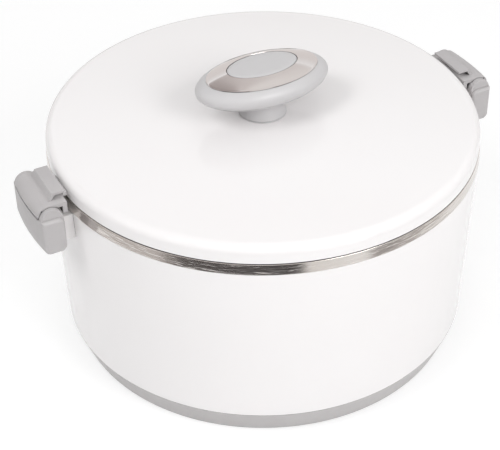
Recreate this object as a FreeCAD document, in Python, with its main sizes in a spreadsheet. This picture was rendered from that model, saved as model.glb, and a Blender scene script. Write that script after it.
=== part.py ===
import FreeCAD, Part
import math
import os
import re

import Sketcher
from FreeCAD import Placement, Rotation, Vector

# Insulated chapati casserole: a steel bowl in a foamed white pot, a lift-off
# foamed lid with an oval knob, and a press-to-open latch in each side grip.
# Millimetres. The origin is on the surface it stands on, at the centre of the
# pot. Z is up, and X runs through the two side grips.

SIZES = [
    # Pot
    ("body_top_radius", 150.75, "outer radius of the white wall just under the steel band"),
    ("body_taper", 3.75, "how much smaller that radius is at the wall's lower edge"),
    ("body_wall", 2.5, "thickness of the moulded white wall"),
    ("base_height", 19.5, "height of the grey base ring"),
    ("base_taper", 7.4, "how much smaller the base ring's radius is where it stands"),
    ("base_wall", 2.5, "thickness of the base ring and its floor"),
    ("base_foot", 9.0, "width of the flat ring that stands on the table"),
    ("base_lift", 3.0, "height of the base floor above the table"),
    ("base_round", 2.5, "rounding of the base ring's lower edge"),
    ("spigot", 8.0, "how far the base ring reaches up into the white wall"),
    ("plug_stem", 9.0, "radius of the foam filling hole in the base floor"),
    ("plug_head", 12.0, "radius of the filling plug's head"),
    ("plug_head_depth", 1.4, "thickness of the filling plug's head"),
    # Steel bowl
    ("rim_height", 152.7, "top of the folded steel rim"),
    ("band_height", 7.7, "height of the steel band that shows under the lid"),
    ("band_proud", 0.15, "how far the band stands out from the white wall"),
    ("band_step", 0.4, "depth of the step half way up the band"),
    ("rim_round", 1.6, "outer rounding of the folded rim"),
    ("steel", 0.8, "thickness of the pressed steel"),
    ("jacket", 22.75, "from the bowl's inside to the white wall's outside, at the top"),
    ("under_jacket", 28.5, "from the base floor's top to the bowl's inner floor"),
    ("bowl_corner", 35.0, "inner radius between the bowl's wall and floor"),
    ("rim_curl", 3.0, "inner radius of the bend from the wall to the flat rim"),
    ("rim_fit", 0.1, "clearance of the white wall's lip inside the folded rim"),
    # Lid
    ("lid_inset", 0.75, "how far the lid's edge lies inside the white wall's upper radius"),
    ("lid_wall", 2.5, "thickness of the moulded lid"),
    ("lid_gap", 0.3, "gap between the lid's lower edge and the steel rim"),
    ("lid_skirt", 13.0, "height of the skirt up to where the dome would meet it"),
    ("lid_rise", 2.5, "how far the middle of the dome rises above that"),
    ("lid_round", 6.0, "rounding between the dome and the skirt"),
    ("lid_snap", 1.2, "depth of the inner rib that holds the liner"),
    ("seal_height", 2.5, "height of the liner's flange above the steel rim"),
    ("seal_width", 8.0, "width of the silicone seal"),
    ("seal_gap", 0.1, "clearance under the seal"),
    ("plug_gap", 1.7, "radial clearance of the liner's plug in the bowl"),
    ("plug_depth", 7.0, "how deep the liner's plug hangs under its flange"),
    ("plug_corner", 4.0, "outer corner radius of the liner's plug"),
    ("lug_reach", 2.7, "how far the flat lug stands out from the lid"),
    ("lug_width", 20.0, "length of the lug along the rim"),
    ("lug_rise", 1.2, "height of the lug's underside above the lid's edge"),
    ("lug_height", 4.0, "height of the lug itself"),
    ("lug_round", 0.8, "rounding of the lug's edges"),
    # Knob
    ("knob_long", 98.0, "length of the knob"),
    ("knob_short", 58.0, "width of the knob"),
    ("knob_thick", 27.0, "full thickness of the oval body that the knob is cut from"),
    ("knob_rise", 25.0, "height of the knob's widest section above the lid"),
    ("knob_wall", 3.0, "thickness of the knob's shells"),
    ("knob_parting", 5.0, "how far under its widest section the knob divides"),
    ("neck_foot", 17.2, "radius of the neck where it stands on the lid"),
    ("neck_waist", 15.0, "radius of the neck at its waist"),
    ("ring_rise", 7.2, "height of the bright ring's lower edge above the widest section"),
    ("ring_thick", 4.6, "height of the bright ring"),
    ("ring_long", 82.0, "outer length of the bright ring"),
    ("ring_short", 47.5, "outer width of the bright ring"),
    ("ring_edge", 0.8, "height of the bright ring's steep outer edge"),
    ("ring_lean", 0.5, "how far that edge leans in"),
    ("inset_long", 52.0, "length of the grey inset"),
    ("inset_short", 29.0, "width of the grey inset"),
    ("inset_proud", 0.7, "height of the inset above the ring's inner edge"),
    ("inset_bevel", 1.2, "width of the bevel round the inset"),
    ("inset_sink", 2.4, "depth to which the inset is sunk in the ring"),
    ("screw_radius", 2.5, "radius of the knob's screw"),
    ("screw_head", 4.8, "radius of the knob screw's head"),
    ("screw_head_depth", 3.2, "depth of the knob screw's head"),
    ("screw_reach", 16.0, "length of the knob's screw above the lid"),
    ("washer_radius", 8.0, "radius of the knob's washer"),
    ("washer_thick", 1.2, "thickness of the knob's washer"),
    ("washer_fit", 0.05, "clearance of the flat washer under the curved lid"),
    ("screw_pocket", 6.0, "depth of the pocket in the lid's foam round the screw head"),
    ("pocket_gap", 1.5, "space round the washer in that pocket"),
    # Side grips
    ("pivot_reach", 16.3, "distance of the latch pin from the lid's edge"),
    ("pivot_drop", 3.0, "how far the latch pin lies below the steel rim"),
    ("arch_radius", 7.8, "radius of the round top of each cheek"),
    ("grip_beyond", 9.7, "from the latch pin to the grip's outer face"),
    ("grip_drop", 25.4, "from the latch pin down to the grip's lower end"),
    ("grip_length", 56.0, "length of the grip's lower part"),
    ("cheek_length", 50.0, "length over the two arched cheeks"),
    ("cheek_wall", 3.4, "thickness of a cheek"),
    ("grip_wall", 2.2, "thickness of the grip's inner wall and floor"),
    ("grip_skin", 4.1, "thickness of the grip's outer wall at its middle"),
    ("grip_round", 4.5, "rounding of the grip's corners in side view"),
    ("end_round", 2.4, "rounding of the grip's two ends"),
    ("shelf_drop", 0.2, "how far the grip's outer wall stops below the latch pin"),
    ("bulge_rise", 1.1, "how far the grip's swollen ends rise above the latch pin"),
    # Latches
    ("latch_gap", 0.4, "gap between the latch and each cheek"),
    ("latch_slit", 2.2, "height of the slit under the latch's outer edge"),
    ("latch_rise", 8.5, "height of the latch's flat top above its pin"),
    ("latch_roof", 1.8, "thickness of the latch's top"),
    ("latch_round", 6.5, "rounding of the latch's outer edge"),
    ("skirt_wall", 3.9, "thickness of the latch's outer wall at its middle"),
    ("leg_gap", 1.3, "gap between the latch's inner leg and the grip"),
    ("leg_wall", 3.2, "thickness of the latch's inner leg"),
    ("leg_rise", 0.3, "height of the leg's lower end above the latch pin"),
    ("stop_gap", 0.3, "gap between the closed latch and its stop on the grip"),
    ("hub_radius", 5.0, "radius of the latch's end hubs"),
    ("hub_wall", 2.8, "thickness of the latch's end hubs"),
    ("hook_gap", 0.3, "gap between the hook plate and the lid's lug"),
    ("hook_rise", 5.2, "height of the raised hook plate above the latch's flat top"),
    ("hook_thick", 1.6, "thickness of the hook plate"),
    ("hook_flat", 9.0, "depth of the hook plate's flat top"),
    ("hook_slope", 2.6, "how far the hook plate's flank leans out"),
    ("hook_flank", 2.1, "thickness of that flank, measured level"),
    ("hook_length", 32.0, "length of the hook plate along the rim"),
    ("hook_round", 0.6, "rounding of the hook plate's outer edge"),
    ("foot_round", 1.6, "rounding at the foot of the hook plate's flank"),
    ("pin_radius", 1.5, "radius of the latch pin"),
    ("pin_fit", 0.06, "radial clearance of the latch on its pin"),
    ("pin_seat", 1.9, "depth of the pin's seat in each cheek"),
    ("wire_radius", 0.4, "radius of the spring wire"),
    ("coil_radius", 2.6, "middle radius of the spring's coil"),
    ("coil_pitch", 1.7, "pitch of the spring's coil"),
    ("coil_turns", 5.0, "whole turns of the spring's coil"),
    ("coil_leg", 5.8, "height of the spring's free leg above the pin's axis"),
    # Brackets and their screws
    ("bracket_length", 34.6, "length of the bracket along the wall"),
    ("bracket_foot", 0.5, "how far the bracket's underside lies above the grip's lower end"),
    ("bracket_height", 19.2, "height of the bracket"),
    ("tie_rise", 9.7, "height of the two screws above the bracket's underside"),
    ("tie_spread", 14.0, "distance between those two screws"),
    ("tie_radius", 1.75, "radius of those screws"),
    ("tie_head", 3.4, "radius of their heads"),
    ("tie_head_depth", 2.2, "depth of their heads"),
    ("tie_end", 1.6, "how far each screw end stands inside the grip"),
    ("tie_back", 2.6, "how far inside the wall's upper radius the heads bear"),
    # Working allowances
    ("blank_spare", 2.0, "how far a blank stands out past the round face cut on it"),
    ("cut_spare", 20.0, "how far a cutting outline runs on past the blank"),
]

# Lengths worked out from the sizes
BODY_LOW = "(body_top_radius - body_taper)"
BASE_RADIUS = f"({BODY_LOW} - base_taper)"
BASE_TOP = "(base_lift + base_wall)"
BOWL_RADIUS = "(body_top_radius - jacket)"
BOWL_FLOOR = f"({BASE_TOP} + under_jacket)"
BAND_LOW = "(rim_height - band_height)"
BAND_STEP_HEIGHT = "(rim_height - band_height / 2)"
BAND_OUT = "(body_top_radius + band_proud)"
WALL_SLOPE = f"(body_taper / ({BAND_LOW} - base_height))"
SPIGOT_TOP = "(base_height + spigot)"
SPIGOT_OUT = f"({BODY_LOW} - body_wall + spigot * {WALL_SLOPE})"
LID_RADIUS = "(body_top_radius - lid_inset)"
LID_EDGE = "(rim_height + lid_gap)"
LID_CORNER = f"({LID_EDGE} + lid_skirt)"
LID_TOP = f"({LID_CORNER} + lid_rise)"
FLANGE_LOW = "(rim_height + seal_height)"
LINER_PLUG = f"({BOWL_RADIUS} - plug_gap)"
DOME_RADIUS = f"(({LID_RADIUS} ^ 2 + lid_rise ^ 2) / (2 * lid_rise))"
INNER_DOME = f"({DOME_RADIUS} - lid_wall)"
LID_INSIDE = f"({LID_RADIUS} - lid_wall)"
LID_CEILING = f"({LID_TOP} - lid_wall)"
LUG_TOP = f"({LID_EDGE} + lug_rise + lug_height)"
WASHER_TOP = f"({LID_CEILING} - washer_fit)"
POCKET_LOW = f"({LID_CEILING} - screw_pocket)"
KNOB_MIDDLE = f"({LID_TOP} + knob_rise)"
RING_LOW = f"({KNOB_MIDDLE} + ring_rise)"
RING_TOP = f"({RING_LOW} + ring_thick)"
PIVOT_OUT = f"({LID_RADIUS} + pivot_reach)"
PIVOT_HIGH = "(rim_height - pivot_drop)"
GRIP_RADIUS = f"({PIVOT_OUT} + grip_beyond)"
GRIP_LOW = f"({PIVOT_HIGH} - grip_drop)"
GRIP_IN = f"({PIVOT_OUT} - arch_radius)"
SHELF = f"({PIVOT_HIGH} - shelf_drop)"
CAVITY_IN = f"({GRIP_IN} + grip_wall)"
CAVITY_OUT = f"({GRIP_RADIUS} - grip_skin)"
CAVITY_LENGTH = "(cheek_length - 2 * cheek_wall)"
LATCH_LENGTH = f"({CAVITY_LENGTH} - 2 * latch_gap)"
LATCH_TOP = f"({PIVOT_HIGH} + latch_rise)"
LATCH_UNDER = f"({LATCH_TOP} - latch_roof)"
SKIRT_IN = f"({GRIP_RADIUS} - skirt_wall)"
SKIRT_LOW = f"({SHELF} + latch_slit)"
LEG_LOW = f"({PIVOT_HIGH} + leg_rise)"
LEG_OUT = f"({GRIP_IN} - leg_gap)"
LEG_IN = f"({LEG_OUT} - leg_wall)"
WALL_ARCH = f"({PIVOT_HIGH} + sqrt(arch_radius ^ 2 - (arch_radius - grip_wall) ^ 2))"
HOOK_IN = f"({LID_RADIUS} + lug_reach + hook_gap)"
HOOK_FOOT = f"({HOOK_IN} + hook_flat + hook_slope)"
HOOK_TOP = f"({LATCH_TOP} + hook_rise)"
BRACKET_LOW = f"({GRIP_LOW} + bracket_foot)"
BRACKET_HIGH = f"({BRACKET_LOW} + bracket_height)"
TIE_HEIGHT = f"({BRACKET_LOW} + tie_rise)"
TIE_SEAT = "(body_top_radius - tie_back)"
BLANK_OUT = f"({GRIP_RADIUS} + blank_spare)"
CUT_OUT = f"({GRIP_RADIUS} + cut_spare)"
CUT_LOW = f"({GRIP_LOW} - cut_spare)"
CUT_HIGH = f"({PIVOT_HIGH} + cut_spare)"

SIDES = {"right": 1, "left": -1}

# How near an edge lies to the place where it is looked for
SNUG = 0.01

doc =FreeCAD.newDocument("casserole")
sheet = doc.addObject("Spreadsheet::Sheet", "size")
for row, (alias, number, note) in enumerate(SIZES, start=1):
    sheet.set(f"A{row}", note)
    sheet.set(f"B{row}", str(number))
    sheet.setAlias(f"B{row}", alias)
doc.recompute()

ALIASES = {alias for alias, number, note in SIZES}


def bound(expression):
    """The expression with every size named as a cell of the sheet."""
    def cell(match):
        word = match.group(0)
        return f"size.{word}" if word in ALIASES else word
    return re.sub(r"[a-z][a-z_]*", cell, expression)


def value(expression):
    """The expression's number at the present sizes."""
    return float(sheet.evalExpression(bound(expression)))


def bind(target, **properties):
    """Tie each named property of a feature to an expression."""
    for name, expression in properties.items():
        target.setExpression(name.replace("__", "."), bound(expression))


def origin_feature(body, role):
    """One of a body's own origin planes or axes."""
    return next(item for item in body.Origin.OriginFeatures if item.Role == role)


def new_body(name):
    body = doc.addObject("PartDesign::Body", name)
    body.Label = name
    return body


def new_sketch(body, name, plane="XZ_Plane"):
    sketch = body.newObject("Sketcher::SketchObject", name)
    sketch.AttachmentSupport = (origin_feature(body, plane), [""])
    sketch.MapMode = "FlatFace"
    return sketch


def pin_down(sketch, segment, end, corner, number):
    """Tie one end of a segment to a corner's two expressions."""
    for kind, expression in (("DistanceX", corner[0]), ("DistanceY", corner[1])):
        label = f"{kind}{number}"
        index = sketch.addConstraint(Sketcher.Constraint(kind, -1, 1, segment, end, value(expression)))
        sketch.renameConstraint(index, label)
        sketch.setExpression(f"Constraints.{label}", bound(expression))


def outline(body, name, corners, plane="XZ_Plane"):
    """A closed outline through corners of (across, up).

    A corner of (across, up, radius, side) starts an arc to the next corner. It
    bulges to the left of the way that the outline runs with side 1, and to the
    right with side -1.
    """
    sketch = new_sketch(body, name, plane)
    points = [Vector(value(corner[0]), value(corner[1]), 0) for corner in corners]
    starts = []
    ends = []
    for number, corner in enumerate(corners):
        here = points[number]
        there = points[(number + 1) % len(points)]
        if len(corner) == 2:
            sketch.addGeometry(Part.LineSegment(here, there), False)
            starts.append(1)
            ends.append(2)
            continue
        radius = value(corner[2])
        chord = there - here
        rise = radius - (radius ** 2 - chord.Length ** 2 / 4) ** 0.5
        left = Vector(-chord.y, chord.x, 0).normalize()
        middle = (here + there) * 0.5 + left * rise * corner[3]
        clockwise = corner[3] > 0
        first, last = (there, here) if clockwise else (here, there)
        sketch.addGeometry(Part.Arc(first, middle, last), False)
        starts.append(2 if clockwise else 1)
        ends.append(1 if clockwise else 2)
        index = sketch.addConstraint(Sketcher.Constraint("Radius", number, radius))
        sketch.renameConstraint(index, f"Radius{number}")
        sketch.setExpression(f"Constraints.Radius{number}", bound(corner[2]))
    for number, corner in enumerate(corners):
        following = (number + 1) % len(corners)
        sketch.addConstraint(
            Sketcher.Constraint("Coincident", number, ends[number], following, starts[following]))
        pin_down(sketch, number, starts[number], corner, number)
    return sketch


def circle(body, name, across, up, radius, plane="XZ_Plane"):
    """A round outline with its centre at (across, up)."""
    sketch = new_sketch(body, name, plane)
    centre = Vector(value(across), value(up), 0)
    sketch.addGeometry(Part.Circle(centre, Vector(0, 0, 1), value(radius)), False)
    pin_down(sketch, 0, 3, (across, up), 0)
    index = sketch.addConstraint(Sketcher.Constraint("Radius", 0, value(radius)))
    sketch.renameConstraint(index, "Radius")
    sketch.setExpression("Constraints.Radius", bound(radius))
    return sketch


def turn(body, name, sketch, kind="PartDesign::Revolution"):
    """Turn an outline once round the pot's axis."""
    feature = body.newObject(kind, name)
    feature.Profile = sketch
    feature.ReferenceAxis = (sketch, ["V_Axis"])
    feature.Angle = 360
    return feature


def extrude(body, name, sketch, length, kind="PartDesign::Pad"):
    """Pad or pocket an outline to both sides of its plane."""
    feature = body.newObject(kind, name)
    feature.Profile = sketch
    feature.SideType = "Symmetric"
    bind(feature, Length=length)
    return feature


def round_edges(body, name, radius, chosen):
    """Round those edges of a body for which chosen(edge) is true."""
    doc.recompute()
    base = body.Tip
    picked = [f"Edge{number}" for number, edge in enumerate(base.Shape.Edges, start=1) if chosen(edge)]
    feature = body.newObject("PartDesign::Fillet", name)
    feature.Base = (base, picked)
    bind(feature, Radius=radius)
    return feature


def ring_at(radius, height):
    """Chooses the full circles of one radius and height about the pot's axis."""
    wanted_radius = value(radius)
    wanted_height = value(height)

    def chosen(edge):
        box = edge.BoundBox
        flat = abs(box.ZMin - wanted_height) < SNUG and abs(box.ZMax - wanted_height) < SNUG
        return flat and abs(box.XMax - wanted_radius) < SNUG and abs(box.YMax - wanted_radius) < SNUG
    return chosen


def along_rim(across, up):
    """Chooses the straight edges that run along the rim through one (across, up)."""
    wanted_across = value(across)
    wanted_up = value(up)

    def chosen(edge):
        return all(abs(point.Point.x - wanted_across) < SNUG and abs(point.Point.z - wanted_up) < SNUG
                   for point in edge.Vertexes)
    return chosen


def half_turn(side):
    """The placement of a piece that is drawn for the right and used on one side."""
    return Placement(Vector(), Rotation(Vector(0, 0, 1), 0 if side > 0 else 180))


def cut(name, base, tool):
    feature = doc.addObject("Part::Cut", name)
    feature.Label = name
    feature.Base = base
    feature.Tool = tool
    return feature


def cylinder(name, radius, height):
    feature = doc.addObject("Part::Cylinder", name)
    bind(feature, Radius=radius, Height=height)
    return feature


# White outer wall: a steep cone whose top steps in behind the steel band
def make_outer_shell():
    lip = f"({BAND_OUT} - steel - band_step - rim_fit)"
    body = new_body("outer_shell_wall")
    profile = outline(body, "outer_shell_profile", [
        (BODY_LOW, "base_height"),
        ("body_top_radius", BAND_LOW),
        (lip, BAND_LOW),
        (lip, "rim_height - steel"),
        ("body_top_radius - body_wall", "rim_height - steel"),
        ("body_top_radius - body_wall", BAND_LOW),
        (f"{BODY_LOW} - body_wall", "base_height"),
    ])
    turn(body, "outer_shell_turned", profile)
    return body


# Grey base ring with a floor that stands clear of the table
def make_base_cup():
    body = new_body("base_cup")
    profile = outline(body, "base_cup_profile", [
        (BASE_RADIUS, "0"),
        (BODY_LOW, "base_height"),
        (f"{BODY_LOW} - body_wall", "base_height"),
        (SPIGOT_OUT, SPIGOT_TOP),
        (f"{SPIGOT_OUT} - base_wall", SPIGOT_TOP),
        (f"{BASE_RADIUS} - base_wall", BASE_TOP),
        ("plug_stem", BASE_TOP),
        ("plug_stem", "base_lift"),
        (f"{BASE_RADIUS} - base_foot", "base_lift"),
        (f"{BASE_RADIUS} - base_foot", "0"),
    ])
    turn(body, "base_cup_turned", profile)
    round_edges(body, "base_cup_rounded", "base_round", ring_at(BASE_RADIUS, "0"))
    return body


# Plug that closes the foam filling hole from below
def make_fill_plug():
    body = new_body("fill_plug")
    profile = outline(body, "fill_plug_profile", [
        ("0", "base_lift - plug_head_depth"),
        ("plug_head", "base_lift - plug_head_depth"),
        ("plug_head", "base_lift"),
        ("plug_stem", "base_lift"),
        ("plug_stem", BASE_TOP),
        ("0", BASE_TOP),
    ])
    turn(body, "fill_plug_turned", profile)
    return body


# Pressed steel bowl; its rim folds out flat and down over the white wall
def make_inner_bowl():
    outside = f"({BOWL_RADIUS} + steel)"
    band_up = f"({BAND_OUT} - band_step)"
    body = new_body("inner_bowl")
    profile = outline(body, "inner_bowl_profile", [
        ("0", f"{BOWL_FLOOR} - steel"),
        (f"{BOWL_RADIUS} - bowl_corner", f"{BOWL_FLOOR} - steel", "bowl_corner + steel", -1),
        (outside, f"{BOWL_FLOOR} + bowl_corner"),
        (outside, "rim_height - steel - rim_curl", "rim_curl", 1),
        (f"{outside} + rim_curl", "rim_height - steel"),
        (f"{band_up} - steel", "rim_height - steel"),
        (f"{band_up} - steel", BAND_STEP_HEIGHT),
        (f"{BAND_OUT} - steel", f"{BAND_STEP_HEIGHT} - band_step"),
        (f"{BAND_OUT} - steel", BAND_LOW),
        (BAND_OUT, BAND_LOW),
        (BAND_OUT, f"{BAND_STEP_HEIGHT} - band_step"),
        (band_up, BAND_STEP_HEIGHT),
        (band_up, "rim_height - rim_round", "rim_round", -1),
        (f"{band_up} - rim_round", "rim_height"),
        (f"{outside} + rim_curl", "rim_height", "rim_curl + steel", -1),
        (BOWL_RADIUS, "rim_height - steel - rim_curl"),
        (BOWL_RADIUS, f"{BOWL_FLOOR} + bowl_corner", "bowl_corner", 1),
        (f"{BOWL_RADIUS} - bowl_corner", BOWL_FLOOR),
        ("0", BOWL_FLOOR),
    ])
    turn(body, "inner_bowl_turned", profile)
    return body


# Foam that fills the space between the bowl, the white wall and the base
def make_bowl_foam():
    outside = f"({BOWL_RADIUS} + steel)"
    body = new_body("bowl_foam_block")
    profile = outline(body, "bowl_foam_profile", [
        ("0", BASE_TOP),
        (f"{BASE_RADIUS} - base_wall", BASE_TOP),
        (f"{SPIGOT_OUT} - base_wall", SPIGOT_TOP),
        (SPIGOT_OUT, SPIGOT_TOP),
        ("body_top_radius - body_wall", BAND_LOW),
        ("body_top_radius - body_wall", "rim_height - steel"),
        (f"{outside} + rim_curl", "rim_height - steel", "rim_curl", -1),
        (outside, "rim_height - steel - rim_curl"),
        (outside, f"{BOWL_FLOOR} + bowl_corner", "bowl_corner + steel", 1),
        (f"{BOWL_RADIUS} - bowl_corner", f"{BOWL_FLOOR} - steel"),
        ("0", f"{BOWL_FLOOR} - steel"),
    ])
    turn(body, "bowl_foam_turned", profile)
    return body


def dome_height(across, radius, top):
    """The height of a dome of one radius and top, at a distance from its axis."""
    return f"({top} - {radius} + sqrt({radius} ^ 2 - ({across}) ^ 2))"


# White lid: shallow dome, short skirt, snap rib, and a flat lug at each grip
def make_lid_shell():
    body = new_body("lid_shell")
    ceiling = dome_height(LID_INSIDE, INNER_DOME, LID_CEILING)
    profile = outline(body, "lid_shell_profile", [
        ("screw_radius", LID_CEILING),
        ("screw_radius", dome_height("screw_radius", DOME_RADIUS, LID_TOP), DOME_RADIUS, 1),
        (LID_RADIUS, LID_CORNER),
        (LID_RADIUS, LID_EDGE),
        (f"{LID_INSIDE} - lid_snap / 2", LID_EDGE),
        (f"{LID_INSIDE} - lid_snap", f"{LID_EDGE} + lid_snap"),
        (f"{LID_INSIDE} - lid_snap", FLANGE_LOW),
        (LID_INSIDE, FLANGE_LOW),
        (LID_INSIDE, ceiling, INNER_DOME, -1),
    ])
    turn(body, "lid_shell_turned", profile)
    round_edges(body, "lid_shell_shoulder", "lid_round", ring_at(LID_RADIUS, LID_CORNER))
    round_edges(body, "lid_shell_inner_shoulder", "lid_round - lid_wall", ring_at(LID_INSIDE, ceiling))
    lug = outline(body, "lug_profile", [
        (f"{LID_RADIUS} - lid_wall / 2", f"{LID_EDGE} + lug_rise"),
        (f"{LID_RADIUS} + lug_reach", f"{LID_EDGE} + lug_rise"),
        (f"{LID_RADIUS} + lug_reach", f"{LUG_TOP} - lug_round", "lug_round", -1),
        (f"{LID_RADIUS} + lug_reach - lug_round", LUG_TOP),
        (f"{LID_RADIUS} - lid_wall / 2", LUG_TOP),
    ])
    pad = extrude(body, "lug", lug, "lug_width")
    doc.recompute()
    pattern = body.newObject("PartDesign::PolarPattern", "lugs")
    pattern.Originals = [pad]
    pattern.Axis = (origin_feature(body, "Z_Axis"), [""])
    pattern.Angle = 360
    pattern.Occurrences = 2
    body.Tip = pattern
    return body


# Foam in the lid, with a pocket round the knob's screw head
def make_lid_foam():
    body = new_body("lid_insulation")
    pocket = "(washer_radius + pocket_gap)"
    ceiling = dome_height(LID_INSIDE, INNER_DOME, LID_CEILING)
    profile = outline(body, "lid_insulation_profile", [
        ("0", POCKET_LOW),
        (pocket, POCKET_LOW),
        (pocket, dome_height(pocket, INNER_DOME, LID_CEILING), INNER_DOME, 1),
        (LID_INSIDE, ceiling),
        (LID_INSIDE, f"{FLANGE_LOW} + steel"),
        (f"{LINER_PLUG} - steel", f"{FLANGE_LOW} + steel"),
        (f"{LINER_PLUG} - steel", f"{FLANGE_LOW} - plug_depth + plug_corner", "plug_corner - steel", -1),
        (f"{LINER_PLUG} - plug_corner", f"{FLANGE_LOW} - plug_depth + steel"),
        ("0", f"{FLANGE_LOW} - plug_depth + steel"),
    ])
    turn(body, "lid_insulation_turned", profile)
    round_edges(body, "lid_insulation_shoulder", "lid_round - lid_wall", ring_at(LID_INSIDE, ceiling))
    return body


# Pressed steel underside of the lid, whose plug sits in the bowl's mouth
def make_lid_liner():
    low = f"({FLANGE_LOW} - plug_depth)"
    body = new_body("lid_liner")
    profile = outline(body, "lid_liner_profile", [
        ("0", low),
        (f"{LINER_PLUG} - plug_corner", low, "plug_corner", -1),
        (LINER_PLUG, f"{low} + plug_corner"),
        (LINER_PLUG, FLANGE_LOW),
        (LID_INSIDE, FLANGE_LOW),
        (LID_INSIDE, f"{FLANGE_LOW} + steel"),
        (f"{LINER_PLUG} - steel", f"{FLANGE_LOW} + steel"),
        (f"{LINER_PLUG} - steel", f"{low} + plug_corner", "plug_corner - steel", 1),
        (f"{LINER_PLUG} - plug_corner", f"{low} + steel"),
        ("0", f"{low} + steel"),
    ])
    turn(body, "lid_liner_turned", profile)
    return body


# Silicone seal, stretched round the liner's plug under its flange
def make_lid_seal():
    body = new_body("lid_seal")
    profile = outline(body, "lid_seal_profile", [
        (LINER_PLUG, "rim_height + seal_gap"),
        (f"{LINER_PLUG} + seal_width", "rim_height + seal_gap"),
        (f"{LINER_PLUG} + seal_width", FLANGE_LOW),
        (LINER_PLUG, FLANGE_LOW),
    ])
    turn(body, "lid_seal_turned", profile)
    return body


def oval_block(name, shrink):
    """The knob's egg-shaped body, drawn in by a wall thickness."""
    block = doc.addObject("Part::Ellipsoid", name)
    bind(block, Radius1=f"knob_thick / 2 - {shrink}", Radius2=f"knob_long / 2 - {shrink}",
         Radius3=f"knob_short / 2 - {shrink}", Placement__Base__z=KNOB_MIDDLE)
    return block


def slab(name, low, high):
    """A flat block wider than the knob, between two heights."""
    block = doc.addObject("Part::Box", name)
    bind(block, Length="2 * knob_long", Width="2 * knob_long", Height=f"{high} - {low}",
         Placement__Base__x="-knob_long", Placement__Base__y="-knob_long", Placement__Base__z=low)
    return block


def common(name, base, tool):
    feature = doc.addObject("Part::Common", name)
    feature.Base = base
    feature.Tool = tool
    return feature


# Lower half of the knob: neck, boss for the screw and the oval dish
def make_knob_base():
    parting = f"({KNOB_MIDDLE} - knob_parting)"
    dish = common("knob_dish", oval_block("knob_base_oval", "0"),
                  slab("knob_base_slab", LID_TOP, parting))
    hollow = cut("knob_dish_hollow", dish, oval_block("knob_base_inside", "knob_wall"))
    neck_body = new_body("knob_neck")
    join = f"({KNOB_MIDDLE} - knob_thick / 2 + knob_wall)"
    neck = outline(neck_body, "knob_neck_profile", [
        ("screw_radius", LID_TOP),
        ("neck_foot", LID_TOP),
        ("neck_waist", f"({LID_TOP} + {join}) / 2"),
        ("neck_foot", join),
        ("washer_radius", join),
        ("washer_radius", parting),
        ("screw_radius", parting),
    ])
    turn(neck_body, "knob_neck_turned", neck)
    base = doc.addObject("Part::Fuse", "knob_base_joined")
    base.Base = hollow
    base.Tool = neck_body
    return cut("knob_base", base, cylinder_at("knob_base_bore", "screw_radius", LID_TOP, parting))


def cylinder_at(name, radius, low, high):
    """An upright round bar on the knob's axis."""
    bar = cylinder(name, radius, f"{high} - {low}")
    bind(bar, Placement__Base__z=low)
    return bar


# Upper half of the knob, open at the top under the ring and inset
def make_knob_cap():
    cap = common("knob_cap_outside", oval_block("knob_cap_oval", "0"),
                 slab("knob_cap_slab", f"({KNOB_MIDDLE} - knob_parting)", RING_LOW))
    hollow = cut("knob_cap", cap, oval_block("knob_cap_inside", "knob_wall"))
    return hollow


def oval(name, long, short, height):
    """An oval outline across the knob's axis."""
    ring = doc.addObject("Part::Ellipse", name)
    bind(ring, MajorRadius=f"{long} / 2", MinorRadius=f"{short} / 2", Placement__Base__z=height)
    return ring


def loft(name, sections):
    feature = doc.addObject("Part::Loft", name)
    feature.Sections = sections
    feature.Solid = True
    feature.Ruled = True
    return feature


# Bright ring: slopes up from its outer oval to the inset's edge
def make_knob_ring():
    slope = loft("knob_ring_slope", [
        oval("ring_outer_low", "ring_long", "ring_short", RING_LOW),
        oval("ring_outer_high", "(ring_long - 2 * ring_lean)", "(ring_short - 2 * ring_lean)",
             f"({RING_LOW} + ring_edge)"),
        oval("ring_inner_high", "inset_long", "inset_short", RING_TOP),
    ])
    seat = loft("knob_ring_seat", [
        oval("seat_low", "inset_long", "inset_short", f"({RING_TOP} - inset_sink)"),
        oval("seat_high", "inset_long", "inset_short", f"({RING_TOP} + cut_spare)"),
    ])
    return cut("knob_ring", slope, seat)


# Grey oval inset in the ring
def make_knob_inset():
    inset = loft("knob_inset", [
        oval("inset_low", "inset_long", "inset_short", f"({RING_TOP} - inset_sink)"),
        oval("inset_edge", "inset_long", "inset_short", RING_TOP),
        oval("inset_top", "(inset_long - 2 * inset_bevel)", "(inset_short - 2 * inset_bevel)",
             f"({RING_TOP} + inset_proud)"),
    ])
    inset.Label = "knob_inset"
    return inset


# Screw and washer that hold the knob from under the lid
def make_knob_screw():
    body = new_body("knob_screw")
    bearing = f"({WASHER_TOP} - washer_thick)"
    profile = outline(body, "knob_screw_profile", [
        ("0", f"{bearing} - screw_head_depth"),
        ("screw_head", f"{bearing} - screw_head_depth"),
        ("screw_head", bearing),
        ("screw_radius", bearing),
        ("screw_radius", f"{LID_TOP} + screw_reach"),
        ("0", f"{LID_TOP} + screw_reach"),
    ])
    turn(body, "knob_screw_turned", profile)
    return body


def make_knob_washer():
    body = new_body("knob_washer")
    profile = outline(body, "knob_washer_profile", [
        ("screw_radius", f"{WASHER_TOP} - washer_thick"),
        ("washer_radius", f"{WASHER_TOP} - washer_thick"),
        ("washer_radius", WASHER_TOP),
        ("screw_radius", WASHER_TOP),
    ])
    turn(body, "knob_washer_turned", profile)
    return body


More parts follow.
